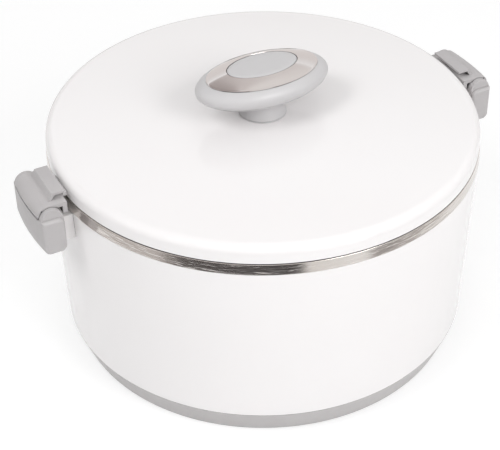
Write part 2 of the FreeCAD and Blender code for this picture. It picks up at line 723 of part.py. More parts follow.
# Two screws on each side, from inside the wall through the bracket to the grip
def make_bracket_screws(name, side):
    bars = []
    for place, offset in (("front", -1), ("back", 1)):
        head = cylinder(f"{name}_{place}_head", "tie_head", "tie_head_depth")
        shank = cylinder(f"{name}_{place}_shank", "tie_radius", f"{CAVITY_IN} + tie_end - {TIE_SEAT}")
        for bar, start in ((head, f"{TIE_SEAT} - tie_head_depth"), (shank, TIE_SEAT)):
            bar.Placement = Placement(Vector(), Rotation(Vector(0, 1, 0), 90 * side))
            bind(bar, Placement__Base__x=f"{side} * ({start})",
                 Placement__Base__y=f"{offset} * tie_spread / 2", Placement__Base__z=TIE_HEIGHT)
            bars.append(bar)
    screws = doc.addObject("Part::MultiFuse", name)
    screws.Label = name
    screws.Shapes = bars
    return screws


# White block that carries a grip; its back is shaped to the pot's wall
def make_bracket(side_name, side):
    body = new_body(f"{side_name}_bracket_block")
    profile = outline(body, f"{side_name}_bracket_profile", [
        (f"{BODY_LOW} - body_wall", BRACKET_LOW),
        (GRIP_IN, BRACKET_LOW),
        (GRIP_IN, BRACKET_HIGH),
        (f"{BODY_LOW} - body_wall", BRACKET_HIGH),
    ])
    extrude(body, f"{side_name}_bracket_pad", profile, "bracket_length")
    wall = outline(body, f"{side_name}_bracket_wall", [
        ("0", "base_height"),
        (BODY_LOW, "base_height"),
        ("body_top_radius", BAND_LOW),
        ("0", BAND_LOW),
    ])
    turn(body, f"{side_name}_bracket_back", wall, "PartDesign::Groove")
    body.Placement = half_turn(side)
    return body


# Grey grip: swollen lower part, two arched cheeks and the latch's well
def make_grip(side_name, side):
    body = new_body(f"{side_name}_grip_block")
    lower = outline(body, f"{side_name}_grip_lower", [
        (f"{GRIP_IN} + grip_round", GRIP_LOW),
        (BLANK_OUT, GRIP_LOW),
        (BLANK_OUT, f"{PIVOT_HIGH} + bulge_rise"),
        (f"{GRIP_IN} + grip_round", f"{PIVOT_HIGH} + bulge_rise", "grip_round", -1),
        (GRIP_IN, f"{PIVOT_HIGH} + bulge_rise - grip_round"),
        (GRIP_IN, f"{GRIP_LOW} + grip_round", "grip_round", -1),
    ])
    extrude(body, f"{side_name}_grip_bulge", lower, "grip_length")
    arch = outline(body, f"{side_name}_grip_arch", [
        (GRIP_IN, f"{PIVOT_HIGH} - grip_round"),
        (f"{PIVOT_OUT} + arch_radius", f"{PIVOT_HIGH} - grip_round"),
        (f"{PIVOT_OUT} + arch_radius", PIVOT_HIGH, "arch_radius", -1),
        (PIVOT_OUT, f"{PIVOT_HIGH} + arch_radius", "arch_radius", -1),
        (GRIP_IN, PIVOT_HIGH),
    ])
    extrude(body, f"{side_name}_grip_cheeks", arch, "cheek_length")
    outside = outline(body, f"{side_name}_grip_outside", [
        (f"{GRIP_RADIUS} - grip_round", CUT_LOW),
        (CUT_OUT, CUT_LOW),
        (CUT_OUT, CUT_HIGH),
        (GRIP_RADIUS, CUT_HIGH),
        (GRIP_RADIUS, f"{GRIP_LOW} + grip_round", "grip_round", 1),
        (f"{GRIP_RADIUS} - grip_round", GRIP_LOW),
    ])
    turn(body, f"{side_name}_grip_face", outside, "PartDesign::Groove")
    well = outline(body, f"{side_name}_grip_well_profile", [
        (CAVITY_IN, f"{GRIP_LOW} + grip_wall"),
        (CAVITY_OUT, f"{GRIP_LOW} + grip_wall"),
        (CAVITY_OUT, SHELF),
        (CUT_OUT, SHELF),
        (CUT_OUT, CUT_HIGH),
        (CAVITY_IN, CUT_HIGH),
    ])
    extrude(body, f"{side_name}_grip_well", well, CAVITY_LENGTH, "PartDesign::Pocket")
    seat = circle(body, f"{side_name}_grip_seat_profile", PIVOT_OUT, PIVOT_HIGH, "pin_radius")
    extrude(body, f"{side_name}_grip_seats", seat, f"{CAVITY_LENGTH} + 2 * pin_seat", "PartDesign::Pocket")
    end = value("grip_length / 2")

    def at_an_end(edge):
        box = edge.BoundBox
        return box.YLength < SNUG and abs(abs(box.YMax) - end) < SNUG
    round_edges(body, f"{side_name}_grip_ends", "end_round", at_an_end)
    body.Placement = half_turn(side)
    return body


# Latch rocker: roof between the cheeks, inner leg, end hubs and hook plate
def make_latch(side_name, side):
    body = new_body(f"{side_name}_latch")
    section = outline(body, f"{side_name}_latch_section", [
        (LEG_IN, LEG_LOW),
        (LEG_OUT, LEG_LOW),
        (LEG_OUT, f"{WALL_ARCH} + stop_gap"),
        (f"{CAVITY_IN} + latch_gap", f"{WALL_ARCH} + stop_gap"),
        (f"{CAVITY_IN} + latch_gap", LATCH_UNDER),
        (SKIRT_IN, LATCH_UNDER),
        (SKIRT_IN, SKIRT_LOW),
        (BLANK_OUT, SKIRT_LOW),
        (BLANK_OUT, LATCH_TOP),
        (LEG_IN, LATCH_TOP),
    ])
    extrude(body, f"{side_name}_latch_roof", section, LATCH_LENGTH)
    outside = outline(body, f"{side_name}_latch_outside", [
        (GRIP_RADIUS, CUT_LOW),
        (CUT_OUT, CUT_LOW),
        (CUT_OUT, CUT_HIGH),
        (f"{GRIP_RADIUS} - latch_round", CUT_HIGH),
        (f"{GRIP_RADIUS} - latch_round", LATCH_TOP, "latch_round", 1),
        (GRIP_RADIUS, f"{LATCH_TOP} - latch_round"),
    ])
    turn(body, f"{side_name}_latch_face", outside, "PartDesign::Groove")
    hub = outline(body, f"{side_name}_hub_profile", [
        (f"{PIVOT_OUT} - hub_radius", PIVOT_HIGH, "hub_radius", -1),
        (PIVOT_OUT, f"{PIVOT_HIGH} - hub_radius", "hub_radius", -1),
        (f"{PIVOT_OUT} + hub_radius", PIVOT_HIGH),
        (f"{PIVOT_OUT} + hub_radius", f"{LATCH_UNDER} + latch_roof / 2"),
        (f"{PIVOT_OUT} - hub_radius", f"{LATCH_UNDER} + latch_roof / 2"),
    ])
    extrude(body, f"{side_name}_hubs", hub, LATCH_LENGTH)
    between = outline(body, f"{side_name}_hub_space_profile", [
        (f"{PIVOT_OUT} - hub_radius", CUT_LOW),
        (f"{PIVOT_OUT} + hub_radius", CUT_LOW),
        (f"{PIVOT_OUT} + hub_radius", LATCH_UNDER),
        (f"{PIVOT_OUT} - hub_radius", LATCH_UNDER),
    ])
    extrude(body, f"{side_name}_hub_space", between, f"{LATCH_LENGTH} - 2 * hub_wall", "PartDesign::Pocket")
    bore = circle(body, f"{side_name}_hub_bore_profile", PIVOT_OUT, PIVOT_HIGH, "pin_radius + pin_fit")
    extrude(body, f"{side_name}_hub_bore", bore, CAVITY_LENGTH, "PartDesign::Pocket")
    hook = outline(body, f"{side_name}_hook_profile", [
        (HOOK_IN, HOOK_TOP),
        (HOOK_IN, f"{HOOK_TOP} - hook_thick"),
        (f"{HOOK_IN} + hook_flat - hook_thick", f"{HOOK_TOP} - hook_thick"),
        (f"{HOOK_FOOT} - hook_flank", LATCH_TOP),
        (f"{HOOK_FOOT} - hook_flank", LATCH_UNDER),
        (HOOK_FOOT, LATCH_UNDER),
        (HOOK_FOOT, LATCH_TOP),
        (f"{HOOK_IN} + hook_flat", HOOK_TOP),
    ])
    extrude(body, f"{side_name}_hook", hook, "hook_length")
    round_edges(body, f"{side_name}_hook_foot", "foot_round", along_rim(HOOK_FOOT, LATCH_TOP))
    round_edges(body, f"{side_name}_hook_edge", "hook_round",
                along_rim(f"{HOOK_IN} + hook_flat", HOOK_TOP))
    body.Placement = half_turn(side)
    return body


def make_hinge_pin(side_name, side):
    pin = cylinder(f"{side_name}_hinge_pin", "pin_radius", f"{CAVITY_LENGTH} + 2 * pin_seat")
    pin.Label = f"{side_name}_hinge_pin"
    pin.Placement = Placement(Vector(), Rotation(Vector(1, 0, 0), -90))
    bind(pin, Placement__Base__x=f"{side} * {PIVOT_OUT}",
         Placement__Base__y=f"-({CAVITY_LENGTH} / 2 + pin_seat)", Placement__Base__z=PIVOT_HIGH)
    return pin


# Torsion spring round the pin: one leg on the grip's wall, one under the roof
def make_latch_spring(side_name, side):
    radius = value("coil_radius")
    pitch = value("coil_pitch")
    quarters = 4 * round(value("coil_turns")) + 1
    pivot = Vector(value(PIVOT_OUT), -pitch * quarters / 8, value(PIVOT_HIGH))

    def coil_point(quarter):
        angle = math.radians(90 * (quarter - 1))
        return pivot + Vector(radius * math.cos(angle), pitch * quarter / 4, radius * math.sin(angle))

    slope = pitch / (2 * math.pi * radius)
    seat_reach = value(f"{PIVOT_OUT} - {CAVITY_IN}")
    free_reach = value("coil_leg")
    first = coil_point(0)
    last = coil_point(quarters)
    edges = [Part.LineSegment(first - Vector(1, slope, 0) * seat_reach, first).toShape()]
    for quarter in range(quarters):
        arc = Part.Arc(coil_point(quarter), coil_point(quarter + 0.5), coil_point(quarter + 1))
        edges.append(arc.toShape())
    edges.append(Part.LineSegment(last, last + Vector(0, slope, 1) * free_reach).toShape())
    path = Part.Wire(edges)
    start = first - Vector(1, slope, 0) * seat_reach
    section = Part.Wire(Part.makeCircle(value("wire_radius"), start, Vector(1, slope, 0)))
    spring = doc.addObject("Part::Feature", f"{side_name}_latch_spring")
    spring.Shape = path.makePipeShell([section], True, False)
    spring.Placement = half_turn(side)
    return spring


for maker in (make_base_cup, make_fill_plug, make_inner_bowl, make_lid_shell, make_lid_foam,
              make_lid_liner, make_lid_seal, make_knob_base, make_knob_cap, make_knob_ring,
              make_knob_inset, make_knob_screw, make_knob_washer):
    maker()

wall = make_outer_shell()
foam = make_bowl_foam()
for side_name, side in SIDES.items():
    screws = make_bracket_screws(f"{side_name}_bracket_screws", side)
    wall = cut(f"outer_shell_{side_name}_holes", wall, screws)
    foam = cut(f"bowl_foam_{side_name}_holes", foam, screws)
    cut(f"{side_name}_bracket", make_bracket(side_name, side), screws)
    cut(f"{side_name}_grip", make_grip(side_name, side), screws)
    make_latch(side_name, side)
    make_hinge_pin(side_name, side)
    make_latch_spring(side_name, side)
wall.Label = "outer_shell"
foam.Label = "bowl_insulation"
doc.recompute()

NODES = [
    "outer_shell", "base_cup", "fill_plug", "inner_bowl", "bowl_insulation",
    "lid_shell", "lid_insulation", "lid_liner", "lid_seal",
    "knob_base", "knob_cap", "knob_ring", "knob_inset", "knob_screw", "knob_washer",
]
for side_name in SIDES:
    NODES += [f"{side_name}_{piece}" for piece in (
        "bracket", "bracket_screws", "grip", "hinge_pin", "latch", "latch_spring")]

for item in doc.Objects:
    if "Invalid" in item.State or "Error" in item.State:
        raise RuntimeError(f"{item.Name} failed to build")

shapes = {}
for node in NODES:
    shape = doc.getObjectsByLabel(node)[0].Shape
    if shape.isNull() or not shape.isValid() or not shape.Solids:
        raise RuntimeError(f"{node} has no sound solid")
    shapes[node] = shape

os.makedirs("parts", exist_ok=True)
for node, shape in shapes.items():
    shape.exportStep(f"parts/{node}.step")
    print(f"{node}: {len(shape.Solids)} solids, {shape.Volume / 1000:.2f} cubic centimetres")
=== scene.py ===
"""Looks of an insulated casserole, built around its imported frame.

Places are metres in the frame's axes: X runs through the two side grips, Z is up,
and the origin is on the surface that the pot stands on. The sizes held by the
classes are millimetres.
"""

import logging
import math
from dataclasses import dataclass
from enum import Enum
from typing import Any, Mapping, Sequence

import bmesh
import bpy
from mathutils import Matrix, Vector


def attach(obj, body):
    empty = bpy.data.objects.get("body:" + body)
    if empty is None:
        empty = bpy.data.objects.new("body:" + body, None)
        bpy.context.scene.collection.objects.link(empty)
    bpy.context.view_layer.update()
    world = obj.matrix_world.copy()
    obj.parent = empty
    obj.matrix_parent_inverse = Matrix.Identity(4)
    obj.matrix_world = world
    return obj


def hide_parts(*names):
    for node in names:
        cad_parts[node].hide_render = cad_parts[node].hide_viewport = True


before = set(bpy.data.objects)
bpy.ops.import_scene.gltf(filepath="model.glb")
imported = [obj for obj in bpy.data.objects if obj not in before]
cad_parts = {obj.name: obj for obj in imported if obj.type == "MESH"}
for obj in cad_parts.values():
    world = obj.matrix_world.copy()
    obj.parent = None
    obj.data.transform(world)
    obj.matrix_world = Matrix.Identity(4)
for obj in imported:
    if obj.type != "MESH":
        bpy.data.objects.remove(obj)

LOG = logging.getLogger("casserole")
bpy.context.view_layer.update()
MM = 0.001
FACES_ROUND = 288
AIM_HEIGHT = 0.1

Corner = tuple[float, float, float]
Outline = list[tuple[float, float]]
Ring = list[Vector]


class Slot(Enum):
    """The record's material slots."""

    WHITE = "white_plastic"
    GREY = "grey_plastic"
    STEEL = "steel"
    CHROME = "chrome"
    FOAM = "foam"
    SILICONE = "silicone"
    FASTENER = "fastener_steel"


class Side(Enum):
    """The two ends of the pot that carry a grip."""

    RIGHT = "right"
    LEFT = "left"


class Body(Enum):
    """The rigid bodies of the frame that stand or lift as a whole."""

    POT = "pot"
    LID = "lid"


def linear(hex_colour: str) -> tuple[float, float, float, float]:
    """Turn an sRGB hex colour into linear light.

    Args:
        hex_colour: six hex digits after a hash sign.

    Returns:
        Red, green, blue and an alpha of one.
    """
    channels = []
    for start in (1, 3, 5):
        level = int(hex_colour[start:start + 2], 16) / 255
        channels.append(level / 12.92 if level <= 0.04045 else ((level + 0.055) / 1.055) ** 2.4)
    return (channels[0], channels[1], channels[2], 1.0)


def per_metre(size_mm: float) -> float:
    """The scale of a pattern whose features are size_mm across."""
    return 1.0 / (size_mm * MM)


def add_node(tree: bpy.types.NodeTree, kind: str, settings: Mapping[str, Any] | None = None,
             inputs: Mapping[str | int, Any] | None = None) -> bpy.types.Node:
    """Add a node with its settings and links.

    Args:
        tree: the tree that the node goes into.
        kind: the node's type name.
        settings: the node's own attributes.
        inputs: a value, or an output socket to link, for each input by name or number.

    Returns:
        The new node.
    """
    node = tree.nodes.new(kind)
    for name, setting in (settings or {}).items():
        setattr(node, name, setting)
    for key, given in (inputs or {}).items():
        if isinstance(given, bpy.types.NodeSocket):
            tree.links.new(given, node.inputs[key])
        else:
            node.inputs[key].default_value = given
    return node


def blank_material(name: str) -> bpy.types.Material:
    """A new material with an empty tree.

    Args:
        name: its name.

    Returns:
        The material.
    """
    made = bpy.data.materials.new(name)
    made.use_nodes = True
    made.node_tree.nodes.clear()
    return made


def off_axis(tree: bpy.types.NodeTree, place: bpy.types.NodeSocket) -> bpy.types.NodeSocket:
    """The distance from the pot's axis, in metres.

    Args:
        tree: the material's tree.
        place: the Object coordinates.

    Returns:
        The distance.
    """
    flat = add_node(tree, "ShaderNodeVectorMath", {"operation": "MULTIPLY"}, {
        0: place, 1: (1.0, 1.0, 0.0)})
    return add_node(tree, "ShaderNodeVectorMath", {"operation": "LENGTH"}, {
        0: flat.outputs["Vector"]}).outputs["Value"]


@dataclass(frozen=True)
class Finish:
    """A surface finish, made into a procedural material on Object coordinates.

    Attributes:
        name: the real material's name and how its surface was made.
        slot: the record's slot it belongs to, which nothing here reads.
        colour: its sRGB colour.
        roughness: the lowest and highest roughness that its haze gives.
    """

    name: str
    slot: Slot
    colour: str
    roughness: tuple[float, float]

    def material(self) -> bpy.types.Material:
        """Build the material once, and give the same one after that.

        Returns:
            The material.
        """
        made = bpy.data.materials.get(self.name)
        if made:
            return made
        made = blank_material(self.name)
        tree = made.node_tree
        shader = add_node(tree, "ShaderNodeBsdfPrincipled", inputs={"Base Color": linear(self.colour)})
        add_node(tree, "ShaderNodeOutputMaterial", inputs={"Surface": shader.outputs["BSDF"]})
        place = add_node(tree, "ShaderNodeTexCoord").outputs["Object"]
        self.dress(tree, shader, place)
        return made

    def dress(self, tree: bpy.types.NodeTree, shader: bpy.types.Node,
              place: bpy.types.NodeSocket) -> None:
        """Give the shader this finish's detail.

        Args:
            tree: the material's tree.
            shader: its Principled shader.
            place: the Object coordinates.
        """
        raise NotImplementedError

    def haze(self, tree: bpy.types.NodeTree, shader: bpy.types.Node,
             place: bpy.types.NodeSocket, size_mm: float) -> None:
        """Vary the roughness softly between its two levels.

        Args:
            tree: the material's tree.
            shader: its Principled shader.
            place: the coordinates of the pattern.
            size_mm: the size of the cloudy patches.
        """
        cloud = add_node(tree, "ShaderNodeTexNoise", inputs={
            "Vector": place, "Scale": per_metre(size_mm), "Detail": 4.0, "Roughness": 0.6})
        level = add_node(tree, "ShaderNodeMapRange", inputs={
            "Value": cloud.outputs["Fac"], "From Min": 0.35, "From Max": 0.65,
            "To Min": self.roughness[0], "To Max": self.roughness[1]})
        tree.links.new(level.outputs["Result"], shader.inputs["Roughness"])

    def tint(self, tree: bpy.types.NodeTree, shader: bpy.types.Node,
             place: bpy.types.NodeSocket, size_mm: float, other: str) -> None:
        """Drift the colour softly towards another one.

        Args:
            tree: the material's tree.
            shader: its Principled shader.
            place: the coordinates of the pattern.
            size_mm: the size of the patches.
            other: the sRGB colour at the far end of the drift.
        """
        cloud = add_node(tree, "ShaderNodeTexNoise", inputs={
            "Vector": place, "Scale": per_metre(size_mm), "Detail": 2.0})
        blend = add_node(tree, "ShaderNodeMix", {"data_type": "RGBA"}, {
            0: cloud.outputs["Fac"], 6: linear(self.colour), 7: linear(other)})
        tree.links.new(blend.outputs[2], shader.inputs["Base Color"])

    def painted_crevice_shade(self, tree: bpy.types.NodeTree, shader: bpy.types.Node, reach_mm: float, shade_colour: str) -> None:
        """Paint shade into the colour where ambient occlusion finds slits and the foot of a step.

        Args:
            tree: the material's tree.
            shader: its Principled shader, whose colour is already linked.
            reach_mm: how wide a slit still counts.
            shade_colour: the sRGB colour in the deepest places.
        """
        unshaded = shader.inputs["Base Color"].links[0].from_socket
        # Painted shade: ambient occlusion mixes a dark colour into the base colour in slits and corners.
        shut = add_node(tree, "ShaderNodeAmbientOcclusion", {"samples": 8}, {"Distance": reach_mm * MM})
        share = add_node(tree, "ShaderNodeMapRange", inputs={
            "Value": shut.outputs["AO"], "From Min": 0.22, "From Max": 0.62})
        blend = add_node(tree, "ShaderNodeMix", {"data_type": "RGBA"}, {
            0: share.outputs["Result"], 6: linear(shade_colour), 7: unshaded})
        tree.links.new(blend.outputs[2], shader.inputs["Base Color"])

    def relief(self, tree: bpy.types.NodeTree, shader: bpy.types.Node,
               height: bpy.types.NodeSocket, depth_mm: float, strength: float) -> None:
        """Bump the surface by a pattern, on top of any bump that it has.

        Args:
            tree: the material's tree.
            shader: its Principled shader.
            height: the pattern's height, from 0 to 1.
            depth_mm: how deep the pattern is.
            strength: how much of it shows.
        """
        given = {"Strength": strength, "Distance": depth_mm * MM, "Height": height}
        if shader.inputs["Normal"].links:
            given["Normal"] = shader.inputs["Normal"].links[0].from_socket
        bump = add_node(tree, "ShaderNodeBump", inputs=given)
        tree.links.new(bump.outputs["Normal"], shader.inputs["Normal"])


@dataclass(frozen=True)
class GlossMoulding(Finish):
    """White ABS from a polished mould.

    The polished tool gives a wet gloss, and shrinkage a faint orange peel that
    softens each reflection's edge. Handling leaves cloudy patches in the gloss.
    """

    peel_mm: float = 3.5
    shade: str = "#f2efef"

    def dress(self, tree: bpy.types.NodeTree, shader: bpy.types.Node,
              place: bpy.types.NodeSocket) -> None:
        """Add the orange peel, the cloudy gloss and a slight warm drift.

        Args:
            tree: the material's tree.
            shader: its Principled shader.
            place: the Object coordinates.
        """
        shader.inputs["IOR"].default_value = 1.6
        self.tint(tree, shader, place, 110.0, self.shade)
        # Painted shade in slits and at the foot of steps, from ambient occlusion.
        self.painted_crevice_shade(tree, shader, 1.2, "#3c3939")
        self.haze(tree, shader, place, 22.0)
        peel = add_node(tree, "ShaderNodeTexNoise", inputs={
            "Vector": place, "Scale": per_metre(self.peel_mm), "Detail": 1.0})
        self.relief(tree, shader, peel.outputs["Fac"], 0.02, 0.25)


@dataclass(frozen=True)
class SatinMoulding(Finish):
    """Grey polypropylene from a spark-eroded mould.

    The eroded tool leaves a fine even grain that spreads every highlight. The real
    grain is about 0.1 mm, and it is drawn at 0.5 mm so that it shows.
    """

    grain_mm: float = 0.5
    shade: str = "#b4b1b2"

    def dress(self, tree: bpy.types.NodeTree, shader: bpy.types.Node,
              place: bpy.types.NodeSocket) -> None:
        """Add the eroded grain and the flow marks' slight drift of colour.

        Args:
            tree: the material's tree.
            shader: its Principled shader.
            place: the Object coordinates.
        """
        shader.inputs["IOR"].default_value = 1.49
        self.tint(tree, shader, place, 18.0, self.shade)
        # Painted shade in slits and at the foot of steps, from ambient occlusion.
        self.painted_crevice_shade(tree, shader, 4.0, "#2e2c2c")
        self.haze(tree, shader, place, 6.0)
        grain = add_node(tree, "ShaderNodeTexNoise", inputs={
            "Vector": place, "Scale": per_metre(self.grain_mm), "Detail": 3.0, "Roughness": 0.7})
        self.relief(tree, shader, grain.outputs["Fac"], 0.03, 0.5)


@dataclass(frozen=True)
class SpunSteel(Finish):
    """Stainless steel sheet, drawn and then polished while it spins.

    The polishing leaves fine lines round the pot's axis, which smear reflections
    up and down the wall. They are drawn at 0.8 mm so that they show. Folding the
    rim leaves shallow ripples about 14 mm long, which streak each reflection.
    """

    line_mm: float = 0.8
    ripple_mm: float = 14.0
    shade: str = "#d5cfca"

    def dress(self, tree: bpy.types.NodeTree, shader: bpy.types.Node,
              place: bpy.types.NodeSocket) -> None:
        """Add the polishing lines, which follow the distance from the axis and the height.

        Args:
            tree: the material's tree.
            shader: its Principled shader.
            place: the Object coordinates.
        """
        shader.inputs["Metallic"].default_value = 1.0
        self.tint(tree, shader, place, 60.0, self.shade)
        # Painted shade in slits and at the foot of steps, from ambient occlusion.
        self.painted_crevice_shade(tree, shader, 1.2, "#3a3637")
        parts = add_node(tree, "ShaderNodeSeparateXYZ", inputs={"Vector": place})
        around = add_node(tree, "ShaderNodeCombineXYZ", inputs={
            "X": off_axis(tree, place), "Z": parts.outputs["Z"]})
        lines = add_node(tree, "ShaderNodeTexNoise", inputs={
            "Vector": around.outputs["Vector"], "Scale": per_metre(self.line_mm),
            "Detail": 5.0, "Roughness": 0.75})
        rough = add_node(tree, "ShaderNodeMapRange", inputs={
            "Value": lines.outputs["Fac"], "From Min": 0.3, "From Max": 0.7,
            "To Min": self.roughness[0], "To Max": self.roughness[1]})
        tree.links.new(rough.outputs["Result"], shader.inputs["Roughness"])
        self.relief(tree, shader, lines.outputs["Fac"], 0.004, 0.35)
        squashed = add_node(tree, "ShaderNodeMapping", inputs={"Vector": place, "Scale": (1.0, 1.0, 6.0)})
        ripple = add_node(tree, "ShaderNodeTexNoise", inputs={
            "Vector": squashed.outputs["Vector"], "Scale": per_metre(self.ripple_mm), "Detail": 2.0})
        self.relief(tree, shader, ripple.outputs["Fac"], 0.3, 0.5)


@dataclass(frozen=True)
class BrightPlate(Finish):
    """Chrome plated ABS, polished before plating.

    It mirrors the room with a slight waviness, and shows warm where the room is dark.
    """

    wave_mm: float = 9.0
    shade: str = "#d5cfcd"

    def dress(self, tree: bpy.types.NodeTree, shader: bpy.types.Node,
              place: bpy.types.NodeSocket) -> None:
        """Add the waviness and the haze of polishing.

        Args:
            tree: the material's tree.
            shader: its Principled shader.
            place: the Object coordinates.
        """
        shader.inputs["Metallic"].default_value = 1.0
        self.tint(tree, shader, place, 25.0, self.shade)
        # Painted shade in slits and at the foot of steps, from ambient occlusion.
        self.painted_crevice_shade(tree, shader, 1.2, "#4a4544")
        self.haze(tree, shader, place, 4.0)
        wave = add_node(tree, "ShaderNodeTexNoise", inputs={
            "Vector": place, "Scale": per_metre(self.wave_mm), "Detail": 1.0})
        self.relief(tree, shader, wave.outputs["Fac"], 0.05, 0.3)


@dataclass(frozen=True)
class RigidFoam(Finish):
    """Polyurethane foam, poured and set between the walls.

    Broken cells give a dry, dusty face with a tooth of about a millimetre.
    """

    cell_mm: float = 1.3
    shade: str = "#d9c88e"

    def dress(self, tree: bpy.types.NodeTree, shader: bpy.types.Node,
              place: bpy.types.NodeSocket) -> None:
        """Add the open cells and a drift of colour.

        Args:
            tree: the material's tree.
            shader: its Principled shader.
            place: the Object coordinates.
        """
        self.tint(tree, shader, place, 30.0, self.shade)
        self.haze(tree, shader, place, 8.0)
        cells = add_node(tree, "ShaderNodeTexVoronoi", inputs={
            "Vector": place, "Scale": per_metre(self.cell_mm)})
        self.relief(tree, shader, cells.outputs["Distance"], 0.4, 0.8)


@dataclass(frozen=True)
class SoftSilicone(Finish):
    """Silicone rubber, pressed in a matte mould.

    It is milky and slightly see-through at its edges, with dust held on its skin.
    """

    dust_mm: float = 1.0
    shade: str = "#d3d3cf"

    def dress(self, tree: bpy.types.NodeTree, shader: bpy.types.Node,
              place: bpy.types.NodeSocket) -> None:
        """Add the milky depth and the dusty skin.

        Args:
            tree: the material's tree.
            shader: its Principled shader.
            place: the Object coordinates.
        """
        shader.inputs["IOR"].default_value = 1.41
        shader.inputs["Subsurface Weight"].default_value = 0.2
        shader.inputs["Subsurface Scale"].default_value = 1.5 * MM
        self.tint(tree, shader, place, 12.0, self.shade)
        self.haze(tree, shader, place, 5.0)
        dust = add_node(tree, "ShaderNodeTexNoise", inputs={
            "Vector": place, "Scale": per_metre(self.dust_mm), "Detail": 4.0})
        self.relief(tree, shader, dust.outputs["Fac"], 0.02, 0.4)


@dataclass(frozen=True)
class ZincSteel(Finish):
    """Zinc plated steel wire and screws.

    The passivated plating is a satin blue-grey with faint cloudy tints.
    """

    crystal_mm: float = 0.7
    shade: str = "#a7a9a2"

    def dress(self, tree: bpy.types.NodeTree, shader: bpy.types.Node,
              place: bpy.types.NodeSocket) -> None:
        """Add the plating's crystals and tints.

        Args:
            tree: the material's tree.
            shader: its Principled shader.
            place: the Object coordinates.
        """
        shader.inputs["Metallic"].default_value = 1.0
        self.tint(tree, shader, place, 3.0, self.shade)
        self.haze(tree, shader, place, 2.0)
        crystals = add_node(tree, "ShaderNodeTexVoronoi", inputs={
            "Vector": place, "Scale": per_metre(self.crystal_mm)})
        self.relief(tree, shader, crystals.outputs["Distance"], 0.01, 0.3)


WHITE_ABS = GlossMoulding("white_abs_polished_moulding", Slot.WHITE, "#f5f3f3", (0.04, 0.08))
BRACKET_ABS = GlossMoulding("white_abs_satin_moulding", Slot.WHITE, "#f3f1f0", (0.28, 0.38), 2.0)
GREY_PP = SatinMoulding("grey_polypropylene_eroded_moulding", Slot.GREY, "#bcb9b9", (0.40, 0.52))
KNOB_PP = SatinMoulding(
    "grey_polypropylene_fine_moulding", Slot.GREY, "#c9c8c9", (0.30, 0.42), 0.4, "#c4c2c3")
BASE_PP = SatinMoulding(
    "grey_polypropylene_base_moulding", Slot.GREY, "#c3c0c0", (0.42, 0.54), 0.7, "#bdbaba")
STEEL = SpunSteel("stainless_steel_spun_polish", Slot.STEEL, "#ded9d5", (0.08, 0.2))
CHROME = BrightPlate("chrome_plated_abs", Slot.CHROME, "#e0dcdb", (0.04, 0.10))
FOAM = RigidFoam("polyurethane_foam_poured", Slot.FOAM, "#e6d9a8", (0.85, 0.95))
SILICONE = SoftSilicone("silicone_rubber_pressed", Slot.SILICONE, "#dfe0dc", (0.45, 0.6))
ZINC = ZincSteel("zinc_plated_steel", Slot.FASTENER, "#bfc2c6", (0.28, 0.42))


def rounded(corners: Sequence[Corner], closed: bool) -> Outline:
    """Round the corners of an outline, with a point just outside each rounding.

    That point keeps the shading of the rounding off the flat that it meets.

    Args:
        corners: each corner's distance from the axis, height and rounding radius.
        closed: whether the outline runs back to its first corner.

    Returns:
        The outline's points, in millimetres.
    """
    points: Outline = []
    last = len(corners) - 1
    for number, (across, up, radius) in enumerate(corners):
        here = Vector((across, up))
        if radius <= 0 or (not closed and number in (0, last)):
            points.append((across, up))
            continue
        before = (Vector(corners[number - 1][:2]) - here).normalized()
        after = (Vector(corners[(number + 1) % len(corners)][:2]) - here).normalized()
        half = before.angle(after) / 2
        centre = here + (before + after).normalized() * radius / math.sin(half)
        reach = radius / math.tan(half)
        start = here + before * reach - centre
        end = here + after * reach - centre
        steps = 4 + round(radius)
        arc = [centre + start.lerp(end, step / steps).normalized() * radius for step in range(steps + 1)]
        guard = min(0.25, 0.2 * radius)
        for spot in (here + before * (reach + guard), *arc, here + after * (reach + guard)):
            points.append((spot.x, spot.y))
    return points


def dome(top: float, radius: float, reach: float, steps: int) -> list[Corner]:
    """The corners of a shallow dome's outline, from its middle outwards.

    Args:
        top: height of its middle.
        radius: its radius of curvature.
        reach: how far from the axis it goes.
        steps: straight pieces along it.

    Returns:
        Its corners, none of them rounded, without the last.
    """
    corners = []
    for step in range(steps):
        across = reach * step / steps
        corners.append((across, top - radius + math.sqrt(radius ** 2 - across ** 2), 0.0))
    return corners


def evaluated_mesh(source: bpy.types.Object) -> bpy.types.Mesh:
    """The plain mesh that an object's modifiers give.

    Args:
        source: an object in the scene.

    Returns:
        A new mesh.
    """
    bpy.context.view_layer.update()
    graph = bpy.context.evaluated_depsgraph_get()
    return bpy.data.meshes.new_from_object(source.evaluated_get(graph))


def scene_object(name: str, mesh: bpy.types.Mesh) -> bpy.types.Object:
    """A new object in the scene that holds a mesh.

    Args:
        name: the object's name.
        mesh: its mesh.

    Returns:
        The object.
    """
    made = bpy.data.objects.new(name, mesh)
    bpy.context.scene.collection.objects.link(made)
    return made


def settle(mesh: bpy.types.Mesh, crease_degrees: float = 32.0) -> None:
    """Point the faces outwards and shade them smooth between creases.

    Args:
        mesh: a closed mesh.
        crease_degrees: the turn between two faces past which their edge is sharp.
    """
    shape = bmesh.new()
    shape.from_mesh(mesh)
    bmesh.ops.recalc_face_normals(shape, faces=shape.faces)
    shape.to_mesh(mesh)
    shape.free()
    mesh.shade_smooth()
    mesh.set_sharp_from_angle(angle=math.radians(crease_degrees))


def hand_over(piece: bpy.types.Object, body: str, nodes: Sequence[str]) -> None:
    """Tie a finished piece to its body, and hide the frame nodes that it stands for.

    Args:
        piece: the finished piece.
        body: the name of the body it rides on.
        nodes: the frame nodes that it replaces.
    """
    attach(piece, body)
    if nodes:
        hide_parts(*nodes)
    LOG.info("%s rides on %s, %d faces", piece.name, body, len(piece.data.polygons))


